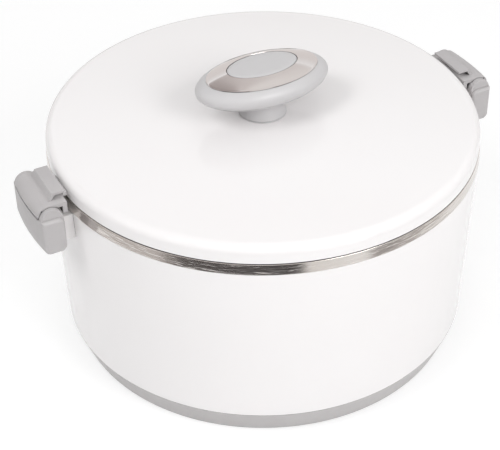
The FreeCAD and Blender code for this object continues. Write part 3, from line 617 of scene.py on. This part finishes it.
def dress_node(node: str, finish: Finish) -> None:
    """Give a frame node that keeps its own mesh a finish.

    Args:
        node: the node's name.
        finish: its finish.
    """
    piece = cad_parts[node]
    material = finish.material()
    if not piece.material_slots:
        piece.data.materials.append(material)
    for place in piece.material_slots:
        place.material = material
    LOG.info("%s keeps its frame mesh, %d faces", node, len(piece.data.polygons))


class Turning:
    """Geometry Nodes that turn an outline once round the pot's axis."""

    def __init__(self) -> None:
        """Build the tree: the outline is swept round a thin core circle and welded."""
        tree = bpy.data.node_groups.new("turned_about_the_axis", "GeometryNodeTree")
        for name, kind in (("Outline", "Geometry"), ("Segments", "Int"), ("Core radius", "Float"),
                           ("Weld distance", "Float"), ("Material", "Material")):
            tree.interface.new_socket(name, in_out="INPUT", socket_type=f"NodeSocket{kind}")
        tree.interface.new_socket("Piece", in_out="OUTPUT", socket_type="NodeSocketGeometry")
        given = add_node(tree, "NodeGroupInput").outputs
        spot = add_node(tree, "GeometryNodeInputPosition")
        parts = add_node(tree, "ShaderNodeSeparateXYZ", inputs={"Vector": spot.outputs["Position"]})
        across = add_node(tree, "ShaderNodeMath", {"operation": "SUBTRACT"}, {
            0: parts.outputs["X"], 1: given["Core radius"]})
        down = add_node(tree, "ShaderNodeMath", {"operation": "MULTIPLY"}, {
            0: parts.outputs["Z"], 1: -1.0})
        laid = add_node(tree, "ShaderNodeCombineXYZ", inputs={
            "X": across.outputs[0], "Y": down.outputs[0]})
        section = add_node(tree, "GeometryNodeSetPosition", inputs={
            "Geometry": given["Outline"], "Position": laid.outputs["Vector"]})
        profile = add_node(tree, "GeometryNodeMeshToCurve", inputs={
            "Mesh": section.outputs["Geometry"]})
        circle = add_node(tree, "GeometryNodeCurvePrimitiveCircle", inputs={
            "Resolution": given["Segments"], "Radius": given["Core radius"]})
        upright = add_node(tree, "GeometryNodeSetCurveNormal", {"mode": "Z_UP"}, {
            "Curve": circle.outputs["Curve"]})
        swept = add_node(tree, "GeometryNodeCurveToMesh", inputs={
            "Curve": upright.outputs["Curve"], "Profile Curve": profile.outputs["Curve"]})
        welded = add_node(tree, "GeometryNodeMergeByDistance", inputs={
            "Geometry": swept.outputs["Mesh"], "Distance": given["Weld distance"]})
        real = add_node(tree, "GeometryNodeRealizeInstances", inputs={
            "Geometry": welded.outputs["Geometry"]})
        dressed = add_node(tree, "GeometryNodeSetMaterial", inputs={
            "Geometry": real.outputs["Geometry"], "Material": given["Material"]})
        add_node(tree, "NodeGroupOutput", inputs={"Piece": dressed.outputs["Geometry"]})
        self.tree = tree

    def make(self, name: str, outline: Outline, closed: bool, finish: Finish,
             segments: int = 256) -> bpy.types.Object:
        """Turn one outline.

        Args:
            name: the piece's name.
            outline: points of distance from the axis and height, in millimetres.
            closed: whether the outline runs back to its first point.
            finish: the piece's finish.
            segments: faces round the axis.

        Returns:
            The finished piece.
        """
        count = len(outline)
        links = [(number, number + 1) for number in range(count - 1)]
        if closed:
            links.append((count - 1, 0))
        sketch = bpy.data.meshes.new(f"{name}_outline")
        sketch.from_pydata([(across * MM, 0.0, up * MM) for across, up in outline], links, [])
        source = scene_object(f"{name}_outline", sketch)
        mesh = grow(source, self.tree, {
            "Segments": segments, "Core radius": 1.0 * MM, "Weld distance": 0.001 * MM,
            "Material": finish.material()})
        settle(mesh)
        return scene_object(name, mesh)


def grow(source: bpy.types.Object, tree: bpy.types.NodeTree,
         values: Mapping[str, Any]) -> bpy.types.Mesh:
    """Run a Geometry Nodes tree on an object and keep the result as a plain mesh.

    Args:
        source: the object that the tree starts from, which is removed.
        tree: the tree.
        values: the tree's inputs by name.

    Returns:
        The mesh that the tree gives.
    """
    modifier = source.modifiers.new(tree.name, "NODES")
    modifier.node_group = tree
    for item in tree.interface.items_tree:
        if item.item_type == "SOCKET" and item.in_out == "INPUT" and item.name in values:
            modifier[item.identifier] = values[item.name]
    mesh = evaluated_mesh(source)
    source.modifiers.remove(modifier)
    bpy.data.objects.remove(source)
    return mesh


def loft(name: str, rings: Sequence[Ring], finish: Finish, closed: bool = False) -> bpy.types.Object:
    """Skin a row of rings that all have the same number of points.

    Args:
        name: the piece's name.
        rings: the rings in order, in millimetres.
        finish: the piece's finish.
        closed: whether the last ring joins the first. If not, both ends get a flat face.

    Returns:
        The finished piece.
    """
    shape = bmesh.new()
    rows = [[shape.verts.new(point * MM) for point in ring] for ring in rings]
    count = len(rows[0])
    pairs = list(zip(rows, rows[1:]))
    if closed:
        pairs.append((rows[-1], rows[0]))
    else:
        shape.faces.new(rows[0])
        shape.faces.new(rows[-1])
    for low, high in pairs:
        for number in range(count):
            after = (number + 1) % count
            shape.faces.new((low[number], low[after], high[after], high[number]))
    mesh = bpy.data.meshes.new(name)
    shape.to_mesh(mesh)
    shape.free()
    mesh.materials.append(finish.material())
    settle(mesh)
    return scene_object(name, mesh)


def softened(node: str, name: str, finish: Finish, radius_mm: float) -> bpy.types.Object:
    """Copy a frame node, weld its triangles and round its crisp edges.

    Args:
        node: the frame node.
        name: the new piece's name.
        finish: the piece's finish.
        radius_mm: the rounding of its edges.

    Returns:
        The finished piece, in the node's place.
    """
    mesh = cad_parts[node].data.copy()
    shape = bmesh.new()
    shape.from_mesh(mesh)
    bmesh.ops.remove_doubles(shape, verts=shape.verts, dist=0.002 * MM)
    bmesh.ops.dissolve_limit(shape, angle_limit=math.radians(0.8), verts=shape.verts, edges=shape.edges)
    shape.to_mesh(mesh)
    shape.free()
    mesh.materials.clear()
    mesh.materials.append(finish.material())
    source = scene_object(f"{name}_blank", mesh)
    bevel = source.modifiers.new("moulded edges", "BEVEL")
    bevel.width = radius_mm * MM
    bevel.segments = 3
    bevel.limit_method = "ANGLE"
    bevel.angle_limit = math.radians(34)
    finished = evaluated_mesh(source)
    source.modifiers.remove(bevel)
    bpy.data.objects.remove(source)
    finished.shade_smooth()
    finished.set_sharp_from_angle(angle=math.radians(38))
    return scene_object(name, finished)


@dataclass
class Pot:
    """The standing body: white wall, grey base, steel bowl and the foam between them."""

    wall_top: float = 150.75
    wall_low: float = 147.0
    wall: float = 2.5
    base_height: float = 19.5
    base_radius: float = 139.6
    base_foot: float = 9.0
    base_lift: float = 3.0
    base_floor: float = 5.5
    plug_radius: float = 9.0
    spigot_top: float = 27.5
    rim: float = 152.7
    band_low: float = 145.0
    band_out: float = 150.9
    band_lean: float = 0.65
    steel: float = 0.8
    bowl_radius: float = 128.0
    bowl_floor: float = 34.0
    bowl_corner: float = 35.0
    edge: float = 0.45

    def wall_outline(self) -> Outline:
        """The white wall, whose lip steps in behind the steel band.

        Returns:
            The outline's points, in millimetres.
        """
        lip = self.band_out - self.steel - self.band_lean - 0.1
        return rounded([
            (self.wall_low, self.base_height + 0.15, self.edge),
            (self.wall_top, self.band_low - 0.1, self.edge),
            (lip, self.band_low - 0.1, 0), (lip, self.rim - self.steel, 0),
            (self.wall_top - self.wall, self.rim - self.steel, 0),
            (self.wall_top - self.wall, self.band_low, 0),
            (self.wall_low - self.wall, self.base_height + 0.15, 0)], True)

    def base_outline(self) -> Outline:
        """The base ring with its foot and floor.

        Returns:
            The outline's points, in millimetres.
        """
        inner = self.base_radius - self.wall
        spigot = self.wall_low - self.wall + 0.2
        return rounded([
            (self.base_radius, 0, 2.5), (self.wall_low, self.base_height - 0.15, self.edge),
            (self.wall_low - self.wall, self.base_height - 0.15, 0), (spigot, self.spigot_top, 0.5),
            (spigot - self.wall, self.spigot_top, 0.5), (inner, self.base_floor, 1.0),
            (self.plug_radius, self.base_floor, 0), (self.plug_radius, self.base_lift, 0),
            (self.base_radius - self.base_foot, self.base_lift, 0.4),
            (self.base_radius - self.base_foot, 0, 0.8)], True)

    def bowl_outline(self) -> Outline:
        """The bowl, whose rim runs out flat and folds down as the band.

        Returns:
            The outline's points, in millimetres.
        """
        outside = self.bowl_radius + self.steel
        upper = self.band_out - self.band_lean
        inner = upper - self.steel
        return rounded([
            (0, self.bowl_floor - self.steel, 0),
            (outside, self.bowl_floor - self.steel, self.bowl_corner + self.steel),
            (outside, self.rim - self.steel, 3.0), (inner, self.rim - self.steel, 0.3),
            (inner, self.band_low, 0.2), (self.band_out, self.band_low, 0.25), (upper, self.rim, 0.35),
            (self.bowl_radius, self.rim, 3.8),
            (self.bowl_radius, self.bowl_floor, self.bowl_corner), (0, self.bowl_floor, 0)], False)

    def build(self, turning: Turning) -> None:
        """Build and dress the pot.

        Args:
            turning: the tree that turns outlines.
        """
        body = Body.POT.value
        wall = turning.make("pot_wall", self.wall_outline(), True, WHITE_ABS, FACES_ROUND)
        hand_over(wall, body, ["outer_shell"])
        base = turning.make("pot_base", self.base_outline(), True, BASE_PP, FACES_ROUND)
        hand_over(base, body, ["base_cup"])
        bowl = turning.make("steel_bowl", self.bowl_outline(), False, STEEL, FACES_ROUND)
        hand_over(bowl, body, ["inner_bowl"])
        dress_node("bowl_insulation", FOAM)
        dress_node("fill_plug", BASE_PP)


@dataclass
class Lid:
    """The lift-off lid: glossy dome with two lugs, steel liner, seal and foam."""

    radius: float = 150.0
    wall: float = 2.5
    edge_height: float = 153.0
    corner: float = 166.0
    top: float = 168.5
    shoulder: float = 6.0
    snap: float = 1.2
    flange: float = 155.2
    steel: float = 0.8
    plug_radius: float = 126.3
    plug_low: float = 148.2
    plug_corner: float = 4.0
    seal_width: float = 8.0
    seal_low: float = 152.8
    lug_out: float = 152.7
    lug_in: float = 148.75
    lug_low: float = 154.2
    lug_top: float = 158.2
    lug_length: float = 20.0
    lug_edge: float = 0.7

    def dome_radius(self) -> float:
        """The dome's radius of curvature."""
        rise = self.top - self.corner
        return (self.radius ** 2 + rise ** 2) / (2 * rise)

    def shell_outline(self) -> Outline:
        """The shell: dome, shoulder, skirt and the inner rib that holds the liner.

        Returns:
            The outline's points, in millimetres.
        """
        inner = self.radius - self.wall
        inner_dome = self.dome_radius() - self.wall
        ceiling = self.top - self.wall - inner_dome + math.sqrt(inner_dome ** 2 - inner ** 2)
        return rounded([
            *dome(self.top, self.dome_radius(), self.radius, 24),
            (self.radius, self.corner, self.shoulder), (self.radius, self.edge_height, 0.7),
            (inner - self.snap / 2, self.edge_height, 0.4),
            (inner - self.snap, self.edge_height + self.snap, 0.3), (inner - self.snap, self.flange, 0),
            (inner, self.flange, 0), (inner, ceiling, self.shoulder - self.wall),
            *reversed(dome(self.top - self.wall, inner_dome, inner, 8))], False)

    def liner_outline(self) -> Outline:
        """The pressed underside, whose plug sits in the bowl's mouth.

        Returns:
            The outline's points, in millimetres.
        """
        rim = self.radius - self.wall
        inside = self.plug_radius - self.steel
        high = self.flange + self.steel
        return rounded([
            (0, self.plug_low, 0), (self.plug_radius, self.plug_low, self.plug_corner),
            (self.plug_radius, self.flange, 0), (rim, self.flange, 0), (rim, high, 0),
            (inside, high, 1.2), (inside, self.plug_low + self.steel, self.plug_corner - self.steel),
            (0, self.plug_low + self.steel, 0)], False)

    def seal_outline(self) -> Outline:
        """The silicone ring, with a soft outer lip.

        Returns:
            The outline's points, in millimetres.
        """
        out = self.plug_radius + self.seal_width
        return rounded([
            (self.plug_radius, self.seal_low, 0.5), (out, self.seal_low, 0.9),
            (out, self.flange, 0.4), (self.plug_radius, self.flange, 0.2)], True)

    def lug_tree(self) -> bpy.types.NodeTree:
        """Geometry Nodes that repeat one lug evenly round the lid.

        Returns:
            The tree.
        """
        tree = bpy.data.node_groups.new("lugs_round_the_lid", "GeometryNodeTree")
        for name, kind in (("Lug", "Geometry"), ("Count", "Int"), ("Material", "Material")):
            tree.interface.new_socket(name, in_out="INPUT", socket_type=f"NodeSocket{kind}")
        tree.interface.new_socket("Lugs", in_out="OUTPUT", socket_type="NodeSocketGeometry")
        given = add_node(tree, "NodeGroupInput").outputs
        centres = add_node(tree, "GeometryNodeMeshLine", inputs={
            "Count": given["Count"], "Offset": (0.0, 0.0, 0.0)})
        number = add_node(tree, "GeometryNodeInputIndex")
        share = add_node(tree, "ShaderNodeMath", {"operation": "DIVIDE"}, {
            0: number.outputs["Index"], 1: given["Count"]})
        angle = add_node(tree, "ShaderNodeMath", {"operation": "MULTIPLY"}, {
            0: share.outputs[0], 1: math.tau})
        turn = add_node(tree, "ShaderNodeCombineXYZ", inputs={"Z": angle.outputs[0]})
        copies = add_node(tree, "GeometryNodeInstanceOnPoints", inputs={
            "Points": centres.outputs["Mesh"], "Instance": given["Lug"],
            "Rotation": turn.outputs["Vector"]})
        real = add_node(tree, "GeometryNodeRealizeInstances", inputs={
            "Geometry": copies.outputs["Instances"]})
        dressed = add_node(tree, "GeometryNodeSetMaterial", inputs={
            "Geometry": real.outputs["Geometry"], "Material": given["Material"]})
        add_node(tree, "NodeGroupOutput", inputs={"Lugs": dressed.outputs["Geometry"]})
        return tree

    def lugs(self) -> bpy.types.Object:
        """The two flat lugs, one over each grip.

        Returns:
            The finished piece.
        """
        shape = bmesh.new()
        size = (self.lug_out - self.lug_in, self.lug_length, self.lug_top - self.lug_low)
        middle = ((self.lug_out + self.lug_in) / 2, 0.0, (self.lug_top + self.lug_low) / 2)
        bmesh.ops.create_cube(shape, size=1.0, matrix=Matrix.LocRotScale(
            Vector(middle) * MM, None, Vector(size) * MM))
        bmesh.ops.bevel(shape, geom=list(shape.edges), offset=self.lug_edge * MM, segments=4,
                        profile=0.5, affect="EDGES", clamp_overlap=True)
        blank = bpy.data.meshes.new("lid_lug")
        shape.to_mesh(blank)
        shape.free()
        mesh = grow(scene_object("lid_lug", blank), self.lug_tree(), {
            "Count": len(Side), "Material": WHITE_ABS.material()})
        settle(mesh)
        return scene_object("lid_lugs", mesh)

    def build(self, turning: Turning) -> None:
        """Build and dress the lid.

        Args:
            turning: the tree that turns outlines.
        """
        body = Body.LID.value
        shell = turning.make("lid_dome", self.shell_outline(), False, WHITE_ABS, FACES_ROUND)
        hand_over(shell, body, ["lid_shell"])
        hand_over(self.lugs(), body, [])
        liner = turning.make("steel_liner", self.liner_outline(), False, STEEL, FACES_ROUND)
        hand_over(liner, body, ["lid_liner"])
        seal = turning.make("silicone_seal", self.seal_outline(), True, SILICONE)
        hand_over(seal, body, ["lid_seal"])
        dress_node("lid_insulation", FOAM)


@dataclass
class Knob:
    """The oval knob: grey halves, bright sloping ring and grey inset."""

    long: float = 49.0
    short: float = 29.0
    half_thick: float = 13.5
    middle: float = 193.5
    wall: float = 3.0
    parting: float = 188.5
    neck_foot: float = 17.2
    neck_waist: float = 15.0
    foot: float = 168.5
    ring_low: float = 200.7
    ring_top: float = 205.3
    ring_long: float = 41.0
    ring_short: float = 23.75
    inset_long: float = 26.0
    inset_short: float = 14.5
    inset_low: float = 202.9
    inset_top: float = 206.0
    fillet: float = 1.6
    groove: float = 0.7
    bevel_in: float = 0.45
    bevel_up: float = 0.85
    crown: float = 0.3
    slack: float = 0.02
    points: int = 160

    def oval(self, long: float, short: float, up: float) -> Ring:
        """An oval ring across the knob's axis.

        Args:
            long: its half length.
            short: its half width.
            up: its height.

        Returns:
            The ring.
        """
        angles = (math.tau * number / self.points for number in range(self.points))
        return [Vector((long * math.cos(turn), short * math.sin(turn), up)) for turn in angles]

    def shrink(self, up: float) -> float:
        """The share of its full size that the egg shape has at a height."""
        rise = (up - self.middle) / self.half_thick
        return math.sqrt(max(0.0, 1.0 - rise ** 2))

    def level(self, up: float, inward: float = 0.0, sunk: float = 0.0) -> Ring:
        """The egg shape's outline at a height.

        Args:
            up: the height.
            inward: how far it is drawn in.
            sunk: how far below that height it is put.

        Returns:
            The ring.
        """
        scale = self.shrink(up)
        return self.oval(self.long * scale - inward, self.short * scale - inward, up - sunk)

    def neck(self, up: float) -> float:
        """The neck's radius at a height, narrowest half way up, over a groove at its foot.

        Args:
            up: the height.

        Returns:
            The radius.
        """
        join = self.middle - self.half_thick + self.wall
        share = (up - self.foot) / (join - self.foot)
        sunk = self.groove if up < self.foot + self.groove else 0.0
        return self.neck_waist + (self.neck_foot - self.neck_waist) * (2 * share - 1) ** 2 - sunk

    def base_ring(self, up: float) -> Ring:
        """The lower half's outside at a height: neck and egg shape, filleted into each other.

        Args:
            up: the height.

        Returns:
            The ring.
        """
        scale = max(self.shrink(up), 1e-4)
        ring = []
        for number in range(self.points):
            turn = math.tau * number / self.points
            long, short = self.long * scale, self.short * scale
            egg = 1.0 / math.hypot(math.cos(turn) / long, math.sin(turn) / short)
            neck = self.neck(up)
            spread = max(self.fillet - abs(egg - neck), 0.0) / self.fillet
            reach = max(egg, neck) + spread ** 2 * self.fillet / 4
            ring.append(Vector((reach * math.cos(turn), reach * math.sin(turn), up)))
        return ring

    def base(self) -> bpy.types.Object:
        """The grey lower half with its neck.

        Returns:
            The finished piece.
        """
        heights = [self.foot + 0.01]
        heights += [self.foot + 0.6 * step for step in range(1, 18)]
        heights += [179.0 + 0.22 * step for step in range(28)]
        heights += [185.3 + 0.35 * step for step in range(9)]
        rings = [self.base_ring(up) for up in heights]
        rings.append(self.level(self.parting, self.groove))
        return loft("knob_lower_half", rings, KNOB_PP)

    def cap(self) -> bpy.types.Object:
        """The grey upper half, open under the ring.

        Returns:
            The finished piece.
        """
        rings = [self.level(self.parting, self.groove)]
        low, high = self.parting + 0.3, self.ring_low - 0.3
        steps = 26
        for step in range(steps + 1):
            up = low + (high - low) * step / steps
            rings.append(self.level(up))
        rings.append(self.level(self.ring_low, 0.25, self.slack))
        rings.append(self.level(self.ring_low, self.wall, self.slack))
        rings.append(self.level(self.parting, self.wall))
        return loft("knob_upper_half", rings, KNOB_PP, closed=True)

    def ring(self) -> bpy.types.Object:
        """The bright ring: a steep edge, a slightly crowned slope and the inset's seat.

        Returns:
            The finished piece.
        """
        edge = ((0.2, 0.0), (0.0, 0.25), (0.05, 0.55), (self.bevel_in, self.bevel_up))
        rings = [self.oval(self.ring_long - inward, self.ring_short - inward, self.ring_low + up)
                 for inward, up in edge]
        long, short = self.ring_long - self.bevel_in, self.ring_short - self.bevel_in
        low = self.ring_low + self.bevel_up
        steps = 14
        for step in range(1, steps):
            share = step / steps
            crown = self.crown * math.sin(math.pi * share)
            rings.append(self.oval(
                long + (self.inset_long - long) * share, short + (self.inset_short - short) * share,
                low + (self.ring_top - low) * share + crown))
        rings.append(self.oval(self.inset_long + 0.15, self.inset_short + 0.15, self.ring_top))
        rings.append(self.oval(self.inset_long, self.inset_short, self.ring_top - 0.25))
        rings.append(self.oval(self.inset_long, self.inset_short, self.inset_low))
        return loft("knob_bright_ring", rings, CHROME)

    def inset(self) -> bpy.types.Object:
        """The grey inset, with a fine gap round it and a soft bevel.

        Returns:
            The finished piece.
        """
        rings = []
        for inward, up in ((0.3, self.inset_low), (0.3, self.ring_top - 0.5),
                           (0.42, self.ring_top - 0.12), (0.7, self.ring_top + 0.1),
                           (1.3, self.inset_top - 0.32), (1.9, self.inset_top - 0.12),
                           (3.4, self.inset_top - 0.02), (5.0, self.inset_top)):
            rings.append(self.oval(self.inset_long - inward, self.inset_short - inward, up))
        return loft("knob_inset_plate", rings, KNOB_PP)

    def build(self) -> None:
        """Build and dress the knob."""
        body = Body.LID.value
        hand_over(self.base(), body, ["knob_base"])
        hand_over(self.cap(), body, ["knob_cap"])
        hand_over(self.ring(), body, ["knob_ring"])
        hand_over(self.inset(), body, ["knob_inset"])
        dress_node("knob_screw", ZINC)
        dress_node("knob_washer", ZINC)


@dataclass
class SideGrip:
    """One end's bracket, grip, latch, pin, spring and screws."""

    side: Side
    grip_edge: float = 0.5
    latch_edge: float = 0.35
    bracket_edge: float = 0.5

    def build(self) -> None:
        """Build and dress this end."""
        end = self.side.value
        bracket = softened(f"{end}_bracket", f"{end}_bracket_block", BRACKET_ABS, self.bracket_edge)
        hand_over(bracket, Body.POT.value, [f"{end}_bracket"])
        grip = softened(f"{end}_grip", f"{end}_grip_moulding", GREY_PP, self.grip_edge)
        hand_over(grip, Body.POT.value, [f"{end}_grip"])
        latch = softened(f"{end}_latch", f"{end}_latch_moulding", GREY_PP, self.latch_edge)
        hand_over(latch, f"{end}_latch_arm", [f"{end}_latch"])
        for piece in ("hinge_pin", "latch_spring", "bracket_screws"):
            dress_node(f"{end}_{piece}", ZINC)


@dataclass(frozen=True)
class Lamp:
    """A square soft light that faces the pot.

    Attributes:
        name: its name.
        azimuth: its bearing from the pot, in degrees from +X towards +Y.
        elevation: its height above the floor, in degrees.
        distance: metres from the pot.
        width: its side in metres.
        power: its power in watts.
        mirrored: whether gloss and metal show it.
    """

    name: str
    azimuth: float
    elevation: float
    distance: float
    width: float
    power: float
    mirrored: bool = True

    def hang(self) -> None:
        """Put the lamp in the scene."""
        lamp = bpy.data.lights.new(self.name, "AREA")
        lamp.shape = "SQUARE"
        lamp.size = self.width
        lamp.energy = self.power
        holder = bpy.data.objects.new(self.name, lamp)
        holder.visible_glossy = self.mirrored
        level = math.radians(self.elevation)
        bearing = math.radians(self.azimuth)
        aim = Vector((math.cos(level) * math.cos(bearing), math.cos(level) * math.sin(bearing),
                      math.sin(level)))
        holder.location = aim * self.distance + Vector((0, 0, AIM_HEIGHT))
        holder.rotation_euler = aim.to_track_quat("Z", "Y").to_euler()
        bpy.context.scene.collection.objects.link(holder)


@dataclass(frozen=True)
class Surround:
    """A ring of soft grey tones round the pot, which only reflections show.

    A photographer's dark cards and bright gaps give polished metal its streaks. The
    ring fades in over its inner edge and out over its outer one.

    Attributes:
        name: its name.
        near: metres from the axis to where it starts, and to where it is full.
        far: metres to where it starts to fade, and to its end.
        heights: metres above the floor of its inner and outer edge.
        tones: each bearing in degrees, from -180 to 180, with its sRGB colour there.
    """

    name: str
    near: tuple[float, float]
    far: tuple[float, float]
    heights: tuple[float, float]
    tones: tuple[tuple[float, str], ...]

    def paint(self) -> bpy.types.Material:
        """A glow that follows the bearing and fades at both edges.

        Returns:
            The material.
        """
        paint = blank_material(self.name)
        tree = paint.node_tree
        place = add_node(tree, "ShaderNodeTexCoord").outputs["Object"]
        bearing = add_node(tree, "ShaderNodeTexGradient", {"gradient_type": "RADIAL"}, {"Vector": place})
        ramp = add_node(tree, "ShaderNodeValToRGB", inputs={"Fac": bearing.outputs["Fac"]})
        ramp.color_ramp.interpolation = "EASE"
        stops = ramp.color_ramp.elements
        while len(stops) < len(self.tones):
            stops.new(0.5)
        for stop, (degrees, tone) in zip(stops, self.tones):
            stop.position = (degrees + 180) / 360
            stop.color = linear(tone)
        reach = off_axis(tree, place)
        shares = []
        for (start, end), low, high in ((self.near, 0.0, 1.0), (self.far, 1.0, 0.0)):
            shares.append(add_node(tree, "ShaderNodeMapRange", {"interpolation_type": "SMOOTHSTEP"}, {
                "Value": reach, "From Min": start, "From Max": end,
                "To Min": low, "To Max": high}).outputs["Result"])
        share = add_node(tree, "ShaderNodeMath", {"operation": "MINIMUM"}, {0: shares[0], 1: shares[1]})
        glow = add_node(tree, "ShaderNodeEmission", inputs={"Color": ramp.outputs["Color"]})
        clear = add_node(tree, "ShaderNodeBsdfTransparent")
        mixed = add_node(tree, "ShaderNodeMixShader", inputs={
            0: share.outputs[0], 1: clear.outputs["BSDF"], 2: glow.outputs["Emission"]})
        add_node(tree, "ShaderNodeOutputMaterial", inputs={"Surface": mixed.outputs["Shader"]})
        return paint

    def hang(self, segments: int = 72) -> None:
        """Put the ring in the scene.

        Args:
            segments: faces round it.
        """
        rims = []
        for reach, height in zip((self.near[0], self.far[1]), self.heights):
            turns = (math.tau * number / segments for number in range(segments))
            rims += [(reach * math.cos(turn), reach * math.sin(turn), height) for turn in turns]
        faces = []
        for number in range(segments):
            after = (number + 1) % segments
            faces.append((number, after, segments + after, segments + number))
        mesh = bpy.data.meshes.new(self.name)
        mesh.from_pydata(rims, [], faces)
        mesh.materials.append(self.paint())
        card = scene_object(self.name, mesh)
        card.visible_camera = False
        card.visible_diffuse = False
        card.visible_shadow = False
        card.visible_transmission = False


LAMPS = (
    Lamp("key_softbox", -74.0, 34.0, 1.8, 0.8, 12.8),
    Lamp("left_softbox", -172.0, 50.0, 1.8, 0.7, 9.0, mirrored=False),
    Lamp("front_softbox", -118.0, 45.0, 1.8, 1.0, 3.6, mirrored=False),
    Lamp("top_softbox", 60.0, 70.0, 1.8, 1.4, 3.2, mirrored=False),
)

SURROUNDS = (
    Surround("floor_cards", (0.355, 0.375), (0.80, 1.30), (0.0004, 0.0006), (
        (-180, "#d0ccca"), (-163, "#cdc9c7"), (-155, "#8d8886"), (-150, "#5a5656"), (-128, "#585556"),
        (-104, "#4c494a"), (-99, "#f4f2f0"), (-76, "#ffffff"), (-70, "#a8a4a2"), (-50, "#b9b5b3"),
        (-32, "#d2cecb"), (3, "#ffffff"), (50, "#a7a19e"), (80, "#7c7673"), (110, "#f4f1ee"),
        (140, "#d6d2cf"), (154, "#cac6c4"), (164, "#a29e9c"), (172, "#cfcbc9"))),
    Surround("ceiling_card", (0.001, 0.002), (1.6, 1.95), (1.7, 1.66), (
        (-180, "#c2bbb9"), (-90, "#ece8e6"), (0, "#f6f3f1"), (60, "#e4dfdd"), (110, "#b4acaa"),
        (180, "#bbb4b2"))),
    Surround("far_wall_card", (1.70, 1.71), (2.10, 2.60), (0.0, 2.20), (
        (-180, "#efebe9"), (0, "#efebe9"), (180, "#efebe9"))),
)


@dataclass
class Studio:
    """Pale floor, soft light and the camera at the photograph's angle."""

    place: tuple[float, float, float] = (-0.3734, -0.7116, 0.6842)
    target: tuple[float, float, float] = (-0.0087, 0.0044, 0.0689)
    lens: float = 99.1
    roll: float = 0.84
    sensor: float = 36.0
    ambient: float = 0.44
    shadow_share: float = 0.42
    floor_reach: float = 8.0
    floor_drop: float = 0.0002
    floor_level: float = 1.06

    def camera(self) -> None:
        """Set the camera from its place, its target and its slight roll."""
        forward = (Vector(self.target) - Vector(self.place)).normalized()
        right = forward.cross(Vector((0, 0, 1))).normalized()
        up = right.cross(forward)
        turned = Matrix.Rotation(math.radians(self.roll), 3, forward)
        right, up = turned @ right, turned @ up
        pose = Matrix((right, up, -forward)).transposed().to_4x4()
        pose.translation = Vector(self.place)
        camera = bpy.data.objects.new("camera", bpy.data.cameras.new("camera"))
        camera.data.lens = self.lens
        camera.data.sensor_width = self.sensor
        camera.data.clip_end = 50.0
        camera.matrix_world = pose
        bpy.context.scene.collection.objects.link(camera)
        bpy.context.scene.camera = camera

    def seen(self, tree: bpy.types.NodeTree) -> bpy.types.NodeSocket:
        """Tell what the eye and reflections see from what only lights the pot.

        Args:
            tree: the tree of the floor or the world.

        Returns:
            One for a ray from the camera, a reflection or a clear body, and nought for the rest.
        """
        path = add_node(tree, "ShaderNodeLightPath").outputs
        first = add_node(tree, "ShaderNodeMath", {"operation": "MAXIMUM"}, {
            0: path["Is Camera Ray"], 1: path["Is Glossy Ray"]})
        return add_node(tree, "ShaderNodeMath", {"operation": "MAXIMUM"}, {
            0: first.outputs[0], 1: path["Is Transmission Ray"]}).outputs[0]

    def world(self) -> None:
        """White to the eye and in reflections, and a plain level of light on the object."""
        world = bpy.data.worlds.new("studio")
        world.use_nodes = True
        tree = world.node_tree
        tree.nodes.clear()
        level = add_node(tree, "ShaderNodeMapRange", inputs={
            "Value": self.seen(tree), "To Min": self.ambient, "To Max": 1.0})
        glow = add_node(tree, "ShaderNodeBackground", inputs={
            "Color": linear("#ffffff"), "Strength": level.outputs["Result"]})
        add_node(tree, "ShaderNodeOutputWorld", inputs={"Surface": glow.outputs["Background"]})
        bpy.context.scene.world = world

    def floor(self) -> None:
        """A white floor that keeps the object's soft shadow."""
        mesh = bpy.data.meshes.new("floor")
        reach = self.floor_reach
        mesh.from_pydata([(-reach, -reach, 0), (reach, -reach, 0), (reach, reach, 0), (-reach, reach, 0)],
                         [], [(0, 1, 2, 3)])
        floor = scene_object("floor", mesh)
        floor.location.z = -self.floor_drop
        paint = blank_material("white_paper_sweep")
        tree = paint.node_tree
        plain = add_node(tree, "ShaderNodeBsdfDiffuse", inputs={"Color": linear("#e8e8e8")})
        share = self.shadow_share
        lit = add_node(tree, "ShaderNodeBsdfDiffuse", inputs={"Color": (share, share, share, 1.0)})
        glow = add_node(tree, "ShaderNodeEmission", inputs={"Strength": self.floor_level - share})
        both = add_node(tree, "ShaderNodeAddShader", inputs={
            0: lit.outputs["BSDF"], 1: glow.outputs["Emission"]})
        mixed = add_node(tree, "ShaderNodeMixShader", inputs={
            0: self.seen(tree), 1: plain.outputs["BSDF"], 2: both.outputs["Shader"]})
        add_node(tree, "ShaderNodeOutputMaterial", inputs={"Surface": mixed.outputs["Shader"]})
        mesh.materials.append(paint)

    def build(self) -> None:
        """Set the camera, floor, world, lights and cards."""
        bpy.context.scene.view_settings.view_transform = "Standard"
        self.camera()
        self.world()
        self.floor()
        for fitting in (*LAMPS, *SURROUNDS):
            fitting.hang()


def main() -> None:
    """Build the casserole and its studio."""
    logging.basicConfig(level=logging.INFO, format="%(name)s: %(message)s")
    turning = Turning()
    Pot().build(turning)
    Lid().build(turning)
    Knob().build()
    for side in Side:
        SideGrip(side).build()
    Studio().build()


if __name__ == "__main__":
    main()
